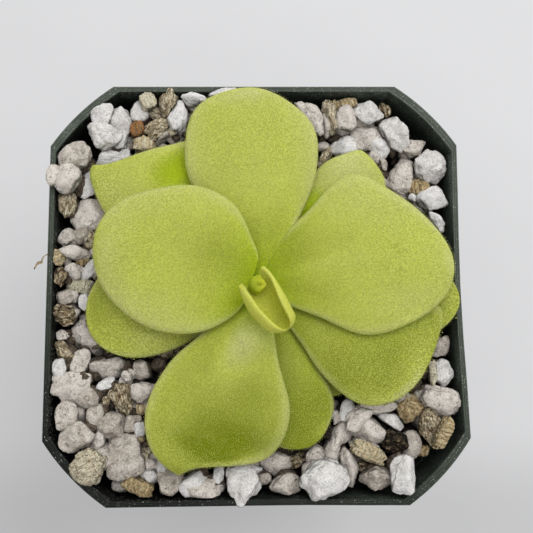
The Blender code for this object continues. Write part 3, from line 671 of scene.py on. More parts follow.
# %% Bud
BUD_AT, BUD_FOOT, BUD_RADIUS, BUD_HEIGHT = (0.02, -0.12), 76.45, 1.52, 2.8
bm = bmesh.new()
uv, depth = bm.loops.layers.uv.new("UVMap"), bm.verts.layers.float.new("depth")
bmesh.ops.create_icosphere(bm, subdivisions=5, radius=1.0)
for face in bm.faces:
    for loop in face.loops:
        loop[uv].uv = (0.5, 0.5)
for vert in bm.verts:
    x, y, z = vert.co
    point_out = smooth_step(0.15, 1.0, x)
    folds = 0.22 * math.cos(5 * math.atan2(z, y) + 0.5)
    ridge = 1 + folds * smooth_step(-0.4, 0.5, x) * (1 - 0.6 * point_out)
    pinch = (1 - 0.45 * point_out) * ridge
    # the depth mark paints the bud darker on its left side and paler towards its point: painted shade and
    # painted highlight
    vert[depth] = 0.42 - 0.6 * point_out + 0.25 * smooth_step(0.0, -0.9, x)
    vert.co = Vector((
        BUD_AT[0] + BUD_RADIUS * (x + 0.10 * point_out),
        BUD_AT[1] + BUD_RADIUS * y * pinch,
        BUD_FOOT + BUD_HEIGHT * (0.5 + 0.5 * z * pinch + 0.12 * point_out),
    ))
finish(bm, "bud_tip", young_flesh, ["leaf_bud"])

# %% [markdown]
# ## Pot
# Thin injection-moulded plastic. The wall is one ring of points carried down and back up:
# each new ring is extruded from the last and moved to its place, as a potter pulls a wall.

# %% Pot measures
RIM_HALF, RIM_CUT, LEDGE, POT_HEIGHT = 38.0, 11.4, 1.05, 70.0
FOOT_HALF, FLOOR_TOP, FLOOR_UNDER, COLLAR_FOOT = 27.0, 3.0, 2.2, 60.0
CORNER_BULGE, CORNER_STEPS, SIDE_STEPS = 0.78, 10, 6
OUT_OF_SQUARE, LEAN_IN, CORNER_OUT = Vector((0.996, 1.004, 1.0)), 0.46, Vector((0.26, -0.32, 0))


def slack(point):
    """Thin plastic is never quite square: one side leans in a little, and one corner out."""
    lean = LEAN_IN * smooth_step(18, 36, point.x) * math.exp(-(((point.y - 1) / 18) ** 2))
    push = smooth_step(30, 46, (point.x - point.y) / math.sqrt(2))
    return point * OUT_OF_SQUARE - Vector((lean, 0, 0)) + CORNER_OUT * push


def pot_ring(half, cut, height):
    """Points of a square with cut corners, counter-clockwise, each cut a shallow outward arc."""
    points = []
    for corner in range(4):
        turn = Matrix.Rotation(math.radians(90 * corner), 3, "Z")
        start, end = Vector((half, half - cut, 0)), Vector((half - cut, half, 0))
        outward = Vector((1, 1, 0)).normalized()
        for step in range(CORNER_STEPS + 1):
            u = step / CORNER_STEPS
            point = start.lerp(end, u) + outward * CORNER_BULGE * 4 * u * (1 - u)
            points.append(slack(turn @ point) + Vector((0, 0, height)))
        for step in range(1, SIDE_STEPS):
            point = end.lerp(Vector((cut - half, half, 0)), step / SIDE_STEPS)
            points.append(slack(turn @ point) + Vector((0, 0, height)))
    return points


def extrude_ring(bm, edges):
    """Extrudes a loop of edges in place, and returns the points and edges of the new loop."""
    made = bmesh.ops.extrude_edge_only(bm, edges=edges)["geom"]
    verts = [item for item in made if isinstance(item, bmesh.types.BMVert)]
    ring = set(verts)
    return verts, [item for item in made if isinstance(item, bmesh.types.BMEdge) and set(item.verts) <= ring]


def pull_wall(rings):
    """A closed body: one loop of points, extruded from each ring to the next, then capped."""
    bm = bmesh.new()
    bmesh.ops.create_circle(bm, cap_ends=True, segments=len(rings[0]), radius=1.0)
    for vert, point in zip(bm.verts, rings[0]):
        vert.co = point
    edges = bm.edges[:]
    for here, there in zip(rings, rings[1:]):
        places = {point.to_tuple(4): target for point, target in zip(here, there)}
        moved, edges = extrude_ring(bm, edges)
        for vert in moved:
            vert.co = places[vert.co.to_tuple(4)]
    bmesh.ops.edgeloop_fill(bm, edges=edges)
    bmesh.ops.recalc_face_normals(bm, faces=bm.faces)
    return bm


def ledge_ring(inset, sunk=0.0):
    return (RIM_HALF - inset, RIM_CUT + 0.15 * inset / LEDGE, POT_HEIGHT - sunk)


WALL = (
    (FOOT_HALF - 1.4, 7.2, FLOOR_UNDER), (FOOT_HALF - 1.3, 7.3, 0.1), (FOOT_HALF - 1.2, 7.3, 0.0),
    (FOOT_HALF - 0.1, 7.8, 0.0), (FOOT_HALF, 7.8, 0.1), (RIM_HALF - 1.8, 10.8, COLLAR_FOOT - 0.1),
    (RIM_HALF - 1.75, 10.8, COLLAR_FOOT), (RIM_HALF - 0.75, 11.2, COLLAR_FOOT + 0.6),
    (RIM_HALF - 0.68, 11.2, COLLAR_FOOT + 0.8), ledge_ring(0.0, 0.3), ledge_ring(0.06, 0.1),
    ledge_ring(0.2, 0.02), ledge_ring(0.34), ledge_ring(0.38, 0.09), ledge_ring(0.43, 0.09),
    ledge_ring(0.47), ledge_ring(0.66, 0.02), ledge_ring(0.70, 0.12), ledge_ring(0.75, 0.12),
    ledge_ring(0.79, 0.03), ledge_ring(0.98, 0.03), ledge_ring(1.05, 0.15),
    (RIM_HALF - 1.5, 11.3, COLLAR_FOOT + 1.0), (RIM_HALF - 2.6, 10.7, COLLAR_FOOT - 0.4),
    (FOOT_HALF - 0.6, 7.6, FLOOR_TOP),
)
print("pot rings:", len(WALL))

# %% [markdown]
# ## Dust
# Fine grit dust clings to the pot's wall. It is a small group of its own, so that any finish
# can take it: it puts out a mask of round specks that come and go in drifts.

# %% Dust group
g, given, out = new_group("settled_dust", {"Scale": 3200.0, "Amount": 0.5}, {"Mask": float})
dust_group = g.tree
where = g.place()
speck = g.node("ShaderNodeTexVoronoi", {"Vector": where, "Scale": given["Scale"]}).outputs
size = g.node("ShaderNodeSeparateColor", {0: speck["Color"]}).outputs[0]
dot = g.math("LESS_THAN", speck["Distance"], g.times(size, 0.30))
most = g.minus(1.05, given["Amount"])
g.feed(out, Mask=g.times(dot, g.ramp(g.noise(where, 75.0, 3.0, 0.6), g.times(most, 0.7), most)))
print("dust nodes", len(dust_group.nodes))

# %% [markdown]
# ## Pot plastic
# The green is almost black inside and greyer on the ledge, where handling has dulled it and a
# painted sheen lightens it. The wall is painted lighter to the right and darker to the left, and
# the ledge lighter towards the lamp and darker away from it: painted light and shade. Lime has
# run down the foot, and the mould left a fine grain, which is bump and not shape, since it is
# finer than a tenth of a millimetre.

# %% Pot plastic
DUST_COLOUR, LIME_COLOUR = (0.42, 0.44, 0.42, 1), (0.085, 0.092, 0.080, 1)
plastic, g, plastic_inputs = new_material("pot_plastic", (0.014, 0.020, 0.014), 0.45, Specular_IOR_Level=0.25)
where = g.place()
height = g.split(where)["Z"]
scuff = g.noise(where, 260.0, 4.0, 0.65)
wall = g.mix(g.ramp(scuff, 0.35, 0.75), (0.011, 0.014, 0.011, 1), (0.021, 0.027, 0.021, 1))
# painted light and shade: the wall's green is lighter to the right and darker to the left
wall = g.scaled(wall, g.ramp(g.along(where, (0.87, 0.49, 0.0)), -0.036, 0.036, 0.2, 2.8))
wear_and_sheen = g.mix(g.ramp(scuff, 0.3, 0.7), (0.050, 0.062, 0.046, 1), (0.075, 0.090, 0.070, 1))
# painted sheen and shade: the ledge is lighter towards the lamp and darker away from it
wear_and_sheen = g.scaled(wear_and_sheen, g.ramp(g.along(where, TO_LAMP), -0.042, 0.008, 0.16, 1.18))
body = g.mix(g.ramp(height, 0.06955, 0.06985), wall, wear_and_sheen)
outwards = g.vector("NORMALIZE", {0: g.vector("MULTIPLY", {0: where, 1: (1.0, 1.0, 0.0)})})
outer = g.along(outwards, g.node("ShaderNodeNewGeometry").outputs["Normal"])
dust = g.group(dust_group, Scale=3000.0, Amount=0.62)["Mask"]
body = g.mix(g.times(dust, g.ramp(outer, 0.1, 0.5, 0.75, 0.05)), body, DUST_COLOUR)
runs = g.noise(g.stretched(where, (1, 1, 0.25)), 110.0, 4.0, 0.6)
lime = g.times(g.ramp(runs, 0.42, 0.72, 0.0, 0.5), g.ramp(height, 0.024, 0.002))
rise = g.bump(g.noise(where, 2600.0, 3.0, 0.6), 0.35, 0.00006)
g.feed(plastic_inputs, Base_Color=g.mix(lime, body, LIME_COLOUR), Normal=rise)
g.feed(plastic_inputs, Roughness=g.ramp(scuff, 0.2, 0.8, 0.36, 0.58))
print("plastic nodes", len(g.tree.nodes))

# %% [markdown]
# ## Pot shell
# The rings become the shell. Its five drain holes and the four notches in its foot are cut
# out with Booleans, which is how such openings are cleanest: each tool is a plain shape that
# is thrown away after the cut.

# %% Pot shell
DRAIN_RADIUS, DRAIN_OFFSET, NOTCH_WIDTH, NOTCH_HEIGHT, NOTCH_DEPTH = 3.5, 15.5, 12.0, 1.3, 6
tools = []
for x, y in [(0, 0)] + [(a, b) for a in (-DRAIN_OFFSET, DRAIN_OFFSET) for b in (-DRAIN_OFFSET, DRAIN_OFFSET)]:
    hole = bmesh.new()
    bmesh.ops.create_cone(
        hole, cap_ends=True, segments=40, radius1=DRAIN_RADIUS, radius2=DRAIN_RADIUS, depth=4
    )
    bmesh.ops.translate(hole, verts=hole.verts, vec=(x, y, 3))
    tools.append(to_object(hole, "cutter"))
for x, y in ((1, 0), (0, 1), (-1, 0), (0, -1)):
    notch = bmesh.new()
    bmesh.ops.create_cube(notch, size=1.0)
    along, across = (NOTCH_DEPTH, NOTCH_WIDTH) if x else (NOTCH_WIDTH, NOTCH_DEPTH)
    bmesh.ops.scale(notch, vec=(along, across, 2 * NOTCH_HEIGHT), verts=notch.verts)
    bmesh.ops.translate(notch, verts=notch.verts, vec=(x * FOOT_HALF, y * FOOT_HALF, 0))
    tools.append(to_object(notch, "cutter"))
shell = pull_wall([pot_ring(*ring) for ring in WALL])
pot = finish(shell, "pot_shell", plastic, ["pot"], sharp=35)
for tool in tools:
    cut = pot.modifiers.new("cut", "BOOLEAN")
    cut.operation, cut.solver, cut.object = "DIFFERENCE", "EXACT", tool
pot.data = applied(pot)
for tool in tools:
    bpy.data.objects.remove(tool, do_unlink=True)
print("pot faces after the cuts:", len(pot.data.polygons))

# %% [markdown]
# ## Grit
# Four kinds of grain lie in the surface: chalky perlite, greyish pumice, layered golden
# vermiculite, and bark with other dark or crusty bits. A subdivided ball with noise looks
# like a potato, so each grain is a ball pressed against a dozen chance planes, which leaves
# soft facets and blunt corners. The coarse grains stand where the picture shows them, and
# each row gives x, y and height of the middle, length, width, turn, and mostly a tone.

# %% Where the coarse grains lie
PERLITE = (
    (-28.4, 32.3, 68.8, 4.2, 4.8, 0, 0.6), (-25.4, 31.9, 68.2, 4.4, 5.1, 0),
    (-28.2, 28.9, 68.2, 6.4, 5, -10), (-25.8, 29.3, 67.2, 4.5, 5, 0), (-27, 25.9, 68.9, 6.2, 5.2, 10, 0),
    (-31.5, 20.5, 68.2, 6.5, 3.5, 70, 0), (-21.7, 33.9, 67.8, 4.3, 3.4, 80, 0.9),
    (-14.6, 32.6, 68.2, 6.1, 3.6, 100), (-11.4, 35.8, 70, 4.6, 2.7, -8), (-6, 36.5, 70.5, 5, 2.5, 5, 0.6),
    (-30.5, 4, 68.3, 4.5, 2, 70, 0.2), (-31.5, -2, 68.2, 3, 2, 90, 0.2), (-35.5, -14, 68.5, 3.5, 2.5, 80),
    (-27.5, -17, 66.5, 3.5, 2, 20), (-21, -25, 68, 2.5, 2, 90, 0.3), (-19.5, -33.5, 67, 3.5, 3, 0),
    (-17, -31.5, 67, 2.5, 2.5, 0), (-11, -34.5, 69, 5.5, 4.5, 50, 0.4), (-7, -33, 68.3, 3, 2, 90, 0.2),
    (-3, -34.7, 70.2, 6.8, 6.5, 60), (-2, -32, 68.5, 5.5, 2, -5, 0), (11.7, -34, 69.9, 8, 7, 0, 0.5),
    (25.5, -33, 70.5, 6.5, 4.5, 80), (24.5, -24, 67, 5, 2.5, -30), (34, -15.5, 67, 5, 4, 90),
    (16.5, -22.1, 68.5, 4, 3, 80, 0.4),
    (21.7, 33.8, 67.5, 5.8, 4.9, -15), (26.8, 29.3, 67.2, 7.2, 4.7, -68, 1.2),
    (23.8, 26.8, 68, 5, 3.9, 80, 0), (17.2, 27.3, 68.2, 5.2, 4.3, 0, 0),
    (33.1, 23, 67.5, 6.3, 5.9, -60, 1.1), (33, 16.7, 68, 5.4, 4.3, 20, 0.3), (34, 12.5, 68, 4.5, 2, -55, 0),
    (29.5, 17, 68.3, 1.5, 1.5, 0, 0.3),
)
PUMICE = (
    (-33.6, 25, 69, 6, 5.2, 25), (-31, 14.5, 68.3, 7.5, 6.5, 20, -0.3), (-33.5, 7, 68.3, 5, 2.5, -5, 0),
    (-33.5, 3.5, 68.3, 3, 3, 0, 0.1), (-31, -7.5, 68.5, 7.5, 6.5, 80, -0.3), (-32, -13, 67, 5, 3, 75),
    (-27.5, -14, 67.5, 7.5, 4.5, 5), (-34, -22.5, 67.5, 7, 4, 100), (-26, -24.5, 67, 5.5, 5, 0, 1.3),
    (-22.5, -24, 67, 3.5, 3, 60, 1.4), (-15.5, -34.5, 67, 5, 4.5, 0, 1.4),
    (3.5, -31.5, 68.2, 6, 4.5, 10, 0.3), (5, -35, 68, 5.5, 4, 0), (13.6, -29.7, 68.7, 6.4, 3.3, 76, 0),
    (15.6, -26.3, 69, 6, 3.4, 58, 0), (18.3, -23.7, 68.8, 5.2, 3.2, 40, 0), (20, -26, 67.5, 5.5, 5, -50, 0.1),
    (21.5, -34, 67.5, 6, 4, 10, 1.5), (34, -11, 67, 5, 3, 45, 1.4), (22, -21.5, 68, 7, 2.5, 0, 0.3),
    (17.2, 32.4, 68, 5.2, 3.9, 100, 0.1), (21.3, 29.2, 68.2, 6.4, 5, 15, 0),
    (28.3, 21.4, 67.6, 8.6, 5.4, 75, 0.3), (30.4, 27, 67.2, 4.4, 3.3, 20, 0.8),
    (-31, -19.5, 67.5, 5.5, 4.5, -40, 1.4), (-20.5, -18.5, 67.8, 4, 3.5, 0, 0.5),
    (-21, -14.5, 67, 3.5, 3, 90, 1.3), (-23.5, -15.5, 67.8, 2, 2, 0, 0.3),
    (-32, -26, 69.5, 6, 4.5, 25, 1.1), (-29, -23, 67, 5, 3, 80, 1), (-23.5, -30, 67.5, 7.5, 7, -70, 1),
    (-35, 10, 67, 3.5, 3.5, 0), (-32.5, 10.5, 67, 3, 3.5, 0, 1.6), (-35, -1, 67.5, 3.5, 3, 0, 1.1),
    (28, -28.5, 67, 5, 3.5, 80, 1.1), (14.5, -23.5, 67, 2.5, 2, 60), (24.5, 24, 66.5, 2.5, 1.5, -60, 1.1),
    (-28.5, -27, 67.8, 3.5, 2.5, 60, 0), (-19, -31, 68, 2.5, 2, 0, 0.2), (-24.5, -35, 66.5, 3, 2.5, 0),
    (10.5, -30, 67, 3.5, 3, 60), (-34.3, 20.5, 70.5, 4.6, 5.6, 0, -0.3),
    (-36.8, 20.8, 70.6, 2.8, 4.2, 0, -0.3), (-35.5, -8, 67, 2.5, 2, 0, 0.1), (-33, -17, 68, 6.5, 5, 10, 0.2),
    (-35.5, -17.5, 69.5, 2.5, 2.5, 0, 0.3), (16.5, -32, 67.5, 7, 3, 100, 0.2),
    (33, -20.5, 68, 8.5, 5, -20, 0.2), (10.5, 32.5, 68.3, 7.5, 4, -55, 0),
    (1, -34, 66.5, 3, 2.5, 0, 1), (-9, -35.3, 71, 7, 3.5, 0, 0.3),
)
VERMICULITE = (
    (-19.9, 35.4, 69.4, 3.2, 3.1, 20, 1.0), (-22.2, 30.6, 68, 2.8, 2.8, 20, 0),
    (-20.9, 27.8, 67, 4.2, 3, -5, 0.7), (-36, 6, 69, 3, 2, 90, 0.6), (-32, 5.5, 67, 2.5, 1.5, 10, 0.4),
    (-32.5, 1, 68.3, 5, 3.2, -15, 1.3), (-21, -21.5, 67, 2, 2, 0, 0.5), (-22, -27, 67, 3.5, 2.5, 30, 0.5),
    (-21, -35, 68, 5.5, 3, -25, 0.4),
    (20, -29.5, 68.2, 7, 3, -28, 0.7), (28, -21.5, 67, 5, 4.5, 30, 0.4), (33, -26, 70.5, 6, 2.5, 70, 0.5),
    (32, -15.5, 68.3, 4.5, 1.7, 90, 1.1), (30, -29.5, 67, 2.5, 2, 0, 0.3),
    (18, 36, 67.3, 3.3, 2.3, 0, 0.55), (15.6, 35.5, 66.8, 2.4, 2, 0, 0.5), (31, 19, 67, 4, 3.5, 0, 0.35),
)
BARK = (
    (-16.4, 35.3, 68.6, 5.4, 3.2, 82, 0.65), (-18.7, 34, 66.5, 3.5, 3, 0, 0.85),
    (-18.3, 30.7, 67.4, 5.3, 3.2, 38, 0.6), (-12.5, 35.5, 66, 2, 2, 0, 0.5),
    (-15.5, 30, 67.5, 2, 2, 0, 0.95), (-35, 16, 67.8, 5, 3.5, 85, 0.68),
    (-31, 9.5, 66.5, 3.5, 2.5, 90, 0.55), (-35.5, 2.5, 69, 3.5, 2.5, 90, 0.22),
    (-35, -4.5, 68, 4, 4, 0, 0.28), (-35, -11, 67, 5, 3, -45, 0.45), (-24.5, -19.5, 67, 6, 4, 100, 0.45),
    (-27.5, -19.5, 66.5, 3, 2, 70, 0.42), (-20.5, -29, 67, 3, 2.5, -20, 0.8), (7, -31, 66, 4, 3, 20, 0.3),
    (25, -28, 67, 5.5, 4.5, 0, -0.4), (31.5, -25, 67.5, 8, 4.5, 100, 0.47), (19, -32, 66.5, 2, 2, 0, 0.4),
    (14.5, 33, 67, 6.5, 3.5, 100, 0.85), (13.5, 25.5, 66, 5, 2, 60, 0.65), (25, 34.5, 67, 3, 2, -60, 0.25),
    (-16.5, -11.5, 66, 2.5, 2, 20, 0.5), (-18, -13.5, 66, 2.5, 2, 0, 0.5),
    (-29.3, -31.1, 70.3, 6.3, 5.9, 35, 1.1),
    (-14, -10.5, 66, 2.5, 1.5, 30, 0.5),
)
print("coarse grains:", len(PERLITE) + len(PUMICE) + len(VERMICULITE) + len(BARK))

# %% [markdown]
# Grains may not poke through the leaves that lie over them. The underside of every leaf is
# sampled into a roof of points, and the fine grit gets a height rule of its own, so that each
# grain can be set as high as both allow.

# %% Room under the leaves
BED_HEIGHT, LEAF_CLEAR, ROOF_STEPS = 65.3, 0.55, 30
roof = []
for leaf in LEAVES.values():
    for i in range(ROOF_STEPS + 1):
        for j in range(-8, 9):
            roof.append(leaf_point(leaf, i / ROOF_STEPS, j / 8) - Vector((0, 0, 0.45)))


def bed_height(x, y):
    """Height of the fine grit: hollow round the stem, banked towards -y, sunk in the corners."""
    corner = max(0.0, (abs(x) + abs(y) - 46) / 16)
    edge = smooth_step(28, 37, max(abs(x), abs(y)))
    hollow = 1 - smooth_step(8, 26, math.hypot(x, y))
    level = BED_HEIGHT - 3.5 * corner - 0.8 * edge - 1.5 * hollow
    return level + max(0.0, -y / 38) + 0.6 * max(0.0, -x / 38)


def top_under(x, y, radius):
    """The height that a grain may reach at this spot and stay clear of the leaves over it."""
    near = [p.z for p in roof if (p.x - x) ** 2 + (p.y - y) ** 2 < (radius + 0.8) ** 2]
    return min(near, default=100.0) - LEAF_CLEAR


print("bed height in the middle:", bed_height(0, 0))

# %% [markdown]
# Every grain starts as the same unit ball. Four levels of detail are made once and copied,
# which is quicker than making a new ball for each of several hundred grains.

# %% Balls to start from
BALLS = {}
for detail in (2, 3, 4, 5):
    ball = bmesh.new()
    bmesh.ops.create_icosphere(ball, subdivisions=detail, radius=1.0)
    BALLS[detail] = bpy.data.meshes.new(f"ball_{detail}")
    ball.to_mesh(BALLS[detail])
    ball.free()
print("faces of the balls:", [len(mesh.polygons) for mesh in BALLS.values()])

# %% [markdown]
# Pressing works by raising each plane's reach to a high power: the higher `hardness`, the
# crisper the edge between two facets. Noise at several sizes then roughens the skin. Whatever
# would stick out through the pot is flattened against its inside, as the real grains are.


# %% One stone
def new_heap():
    """An empty bmesh whose points carry a tone and their own place within the stone."""
    bm = bmesh.new()
    bm.verts.layers.float.new("tint")
    bm.verts.layers.float_vector.new("local")
    return bm


def chance_vector(draw, reach):
    return Vector([draw.uniform(-reach, reach) for _ in "xyz"])


def stop_at_wall(point):
    """Flattens a grain against the inside of the pot; only what lies over the ledge may pass it."""
    if point.z < POT_HEIGHT + 0.1:
        wall = RIM_HALF - LEDGE - 0.2 + 0.1 * (point.z - POT_HEIGHT)
        point.x, point.y = (min(max(value, -wall), wall) for value in point.xy)
        past = (abs(point.x) + abs(point.y) - 2 * wall + RIM_CUT) / 2 - CORNER_BULGE
        if past > 0:
            point.x -= math.copysign(past, point.x)
            point.y -= math.copysign(past, point.y)
    return point


def add_stone(
    bm, draw, at, size, turn, tone, detail, planes=13, hardness=14, rough=0.08, block=False, lines=None
):
    """Adds a ball pressed against chance planes, roughened, stretched, tilted and put in place."""
    first = len(bm.verts)
    bm.from_mesh(BALLS[detail])
    bm.verts.ensure_lookup_table()
    tint, local = bm.verts.layers.float["tint"], bm.verts.layers.float_vector["local"]
    if block:
        ways = ((1, 0, 0), (-1, 0, 0), (0, 1, 0), (0, -1, 0), (0, 0, 1), (0, 0, -1))
        sides = [Vector(way) + chance_vector(draw, 0.2) for way in ways]
    else:
        sides = [Vector([draw.gauss(0, 1) for _ in "xyz"]) for _ in range(planes)]
    presses = [side.normalized() / draw.uniform(0.78, 1.04) for side in sides]
    seed = chance_vector(draw, 50)
    tilt = Matrix.Rotation(draw.uniform(-0.35, 0.35), 3, "X")
    tilt = tilt @ Matrix.Rotation(draw.uniform(-0.25, 0.25), 3, "Y")
    place = Matrix.Rotation(math.radians(turn), 3, "Z") @ tilt
    shapes = []
    for vert in bm.verts[first:]:
        ray = vert.co.copy()
        press = sum(max(0.0, ray.dot(side)) ** hardness for side in presses)
        radius = min((press + 1e-6) ** (-1 / hardness), 1.22)
        lump = noise.noise(ray * 1.6 + seed) * 1.5 + noise.noise(ray * 3.3 + seed) * 0.9
        lump += noise.noise(ray * 7.1 + seed) * 0.4
        if detail > 3:
            chip = max(0.0, 0.10 - abs(noise.noise(ray * 2.4 - seed)))
            lump += noise.noise(ray * 15 + seed) * 0.3 - 1.6 * chip
        shapes.append(ray * radius * (1 + rough * lump))
    ends = [(max(shape[k] for shape in shapes), min(shape[k] for shape in shapes)) for k in range(3)]
    middle = Vector([(high + low) / 2 for high, low in ends])
    fit = Vector([extent / (high - low) for extent, (high, low) in zip(size, ends)])
    for vert, shape in zip(bm.verts[first:], shapes):
        shape = (shape - middle) * fit
        groove = 0.0
        if lines:
            phase = shape.dot(Vector(lines)) + 4 * noise.noise(shape * 0.5 + seed)
            phase += 2.5 * noise.noise(shape * 1.3 - seed)
            groove = math.sin(phase) * (0.6 + 0.6 * noise.noise(shape * 1.2 - seed))
        shape.yz *= 1 + 0.08 * groove
        # the tone follows the grooves too: ridges are painted lighter and grooves darker, painted light and
        # shade
        vert[tint] = tone + 0.35 * groove
        vert[local] = shape + seed
        vert.co = stop_at_wall(place @ shape + Vector(at))


sample = new_heap()
add_stone(sample, random.Random(1), (0, 0, 0), (3, 2, 2), 0, 0.5, 2)
print("points in a small stone:", len(sample.verts))
sample.free()

# %% [markdown]
# All grit shares one group. It works in the stone's own place, so the mottling stays with the
# stone, and puts out a tone, the hollows (pits and a crack), a shade and a height for bump.
# Little light reaches between the grains, so what lies low or faces down is darkened there.

# %% Stone grain group
g, given, out = new_group(
    "stone_grain",
    {
        "Tone share": 0.35, "Wide share": 0.25, "Fine share": 0.5, "Wide scale": 0.7, "Fine scale": 2.2,
        "Pit scale": 1.3, "Pits": 0.5, "Crack": 0.3, "Grainy": 0.2, "Stretch": Vector((1, 1, 1)),
    },
    {"Tone": float, "Hollow": float, "Shade": float, "Height": float},
)
grain_group = g.tree
local = g.stretched(g.mark("local", "Vector"), given["Stretch"])
wide = g.ramp(g.noise(local, given["Wide scale"], 3.0, 0.6), 0.32, 0.68)
fine = g.ramp(g.noise(local, given["Fine scale"], 5.0, 0.72), 0.30, 0.70)
drift = g.noise(local, g.times(given["Pit scale"], 0.35))
hole = g.times(g.ramp(g.cells(local, given["Pit scale"]), 0.26, 0.08), g.ramp(drift, 0.47, 0.57))
warp = g.node("ShaderNodeTexNoise", {"Vector": local, "Scale": 0.9, "Detail": 4.0}).outputs["Color"]
bent = g.vector("ADD", {0: local, 1: g.scaled(warp, 3.0)})
crack = g.ramp(g.cells(bent, 0.5, "DISTANCE_TO_EDGE"), 0.05, 0.0)
crack = g.times(crack, g.times(g.ramp(wide, 0.2, 0.6), given["Crack"]))
hollow = g.math("MAXIMUM", g.times(hole, given["Pits"]), crack)
crisp = g.noise(local, g.times(given["Fine scale"], 2.6), 2.0, 0.6)
crisp = g.ramp(crisp, 0.30, 0.70, g.minus(1.0, given["Grainy"]), g.plus(1.0, given["Grainy"]))
move = g.times(g.mark("tint"), given["Tone share"])
move = g.plus(move, g.times(wide, given["Wide share"]))
move = g.plus(move, g.times(fine, given["Fine share"]))
lit = g.along(g.place(), (-0.005, 0.030, 1.0))
tilt = g.split(g.node("ShaderNodeNewGeometry").outputs["Normal"])["Z"]
# painted shade: grains that lie low or face down are painted darker
painted_shade = g.times(g.ramp(tilt, 0.0, 0.6, 0.3, 1.0), g.ramp(lit, 0.0645, 0.0673, 0.15, 1.0))
relief = g.plus(g.times(fine, -0.45), g.times(wide, -0.5))
relief = g.minus(g.plus(relief, g.times(crisp, 0.5)), hollow)
g.feed(out, Tone=move, Hollow=hollow, Shade=g.times(painted_shade, crisp), Height=relief)
print("stone_grain nodes", len(grain_group.nodes))

# %% [markdown]
# A finish for each kind of grit is then one call: its colours from first to last, how deep
# its bump goes, and which of the group's sockets it changes. Vermiculite is stretched along
# one axis, since it is built of layers, and bark across it.


# %% Grit finishes
def grit_finish(name, colours, bump, **values):
    """Stone from its first to its last colour, moved along by the grain's tone and mottling."""
    material, g, inputs = new_material(name, colours[0], 0.93, Specular_IOR_Level=0.22)
    grain = g.group(grain_group, **values)
    ramp = g.node("ShaderNodeValToRGB", {0: grain["Tone"]})
    band = ramp.color_ramp
    band.elements[0].color, band.elements[1].color = (*colours[0], 1), (*colours[-1], 1)
    for i, colour in enumerate(colours[1:-1], start=1):
        band.elements.new(i / (len(colours) - 1)).color = (*colour, 1)
    # pits and cracks are painted dark: painted shade in the hollows
    colour = g.mix(grain["Hollow"], ramp.outputs[0], g.scaled(ramp.outputs[0], 0.22))
    g.feed(inputs, Base_Color=g.scaled(colour, grain["Shade"]), Normal=g.bump(grain["Height"], 0.9, bump))
    return material


perlite_finish = grit_finish(
    "perlite", ((1.0, 0.985, 0.97), (0.98, 0.96, 0.94), (0.77, 0.73, 0.69)), 0.00035,
    Wide_scale=0.6, Fine_scale=2.2, Pit_scale=1.3, Pits=0.44, Crack=0.22,
)
pumice_finish = grit_finish(
    "pumice", ((0.98, 0.915, 0.84), (0.88, 0.81, 0.73), (0.56, 0.49, 0.41)), 0.0004,
    Wide_scale=0.7, Fine_scale=2.4, Pit_scale=1.2, Pits=0.8, Crack=0.4,
)
vermiculite_finish = grit_finish(
    "vermiculite", ((0.66, 0.28, 0.10), (0.34, 0.22, 0.10), (0.86, 0.68, 0.38), (1.0, 0.93, 0.70)), 0.0005,
    Tone_share=0.85, Wide_share=0.10, Fine_share=0.30, Wide_scale=0.8, Fine_scale=2.0, Pit_scale=1.6,
    Pits=0.9, Crack=0.8, Grainy=0.25, Stretch=Vector((2.6, 0.6, 1)),
)
bark_finish = grit_finish(
    "bark_grit", ((0.010, 0.008, 0.006), (0.07, 0.05, 0.03), (0.50, 0.38, 0.22), (0.95, 0.85, 0.63)), 0.0006,
    Tone_share=0.62, Wide_share=0.1, Fine_share=0.75, Wide_scale=1.1, Fine_scale=1.6, Pit_scale=2.0,
    Pits=0.9, Crack=0.9, Grainy=0.4, Stretch=Vector((0.7, 1.5, 1.5)),
)
# the fine grit's dark colours are partly its own and partly painted shade in the gaps between the grains
fine_finish = grit_finish(
    "fine_grit", ((0.46, 0.38, 0.29), (0.15, 0.115, 0.085), (0.02, 0.016, 0.012)), 0.0003,
    Tone_share=0.6, Wide_share=0.2, Fine_share=0.5, Wide_scale=0.8, Fine_scale=2.0, Pit_scale=2.4,
    Pits=0.8, Crack=0.4, Grainy=0.3,
)
print("grit finishes:", perlite_finish.name, pumice_finish.name, vermiculite_finish.name, bark_finish.name)

# %% [markdown]
# The rows are laid kind by kind, each kind into one mesh, since the grains of a kind share a
# finish. Chance is drawn from one seeded source in a fixed order, so every run gives the same
# stones. Where a grain stands well clear of the bed, a smaller one is put under it.

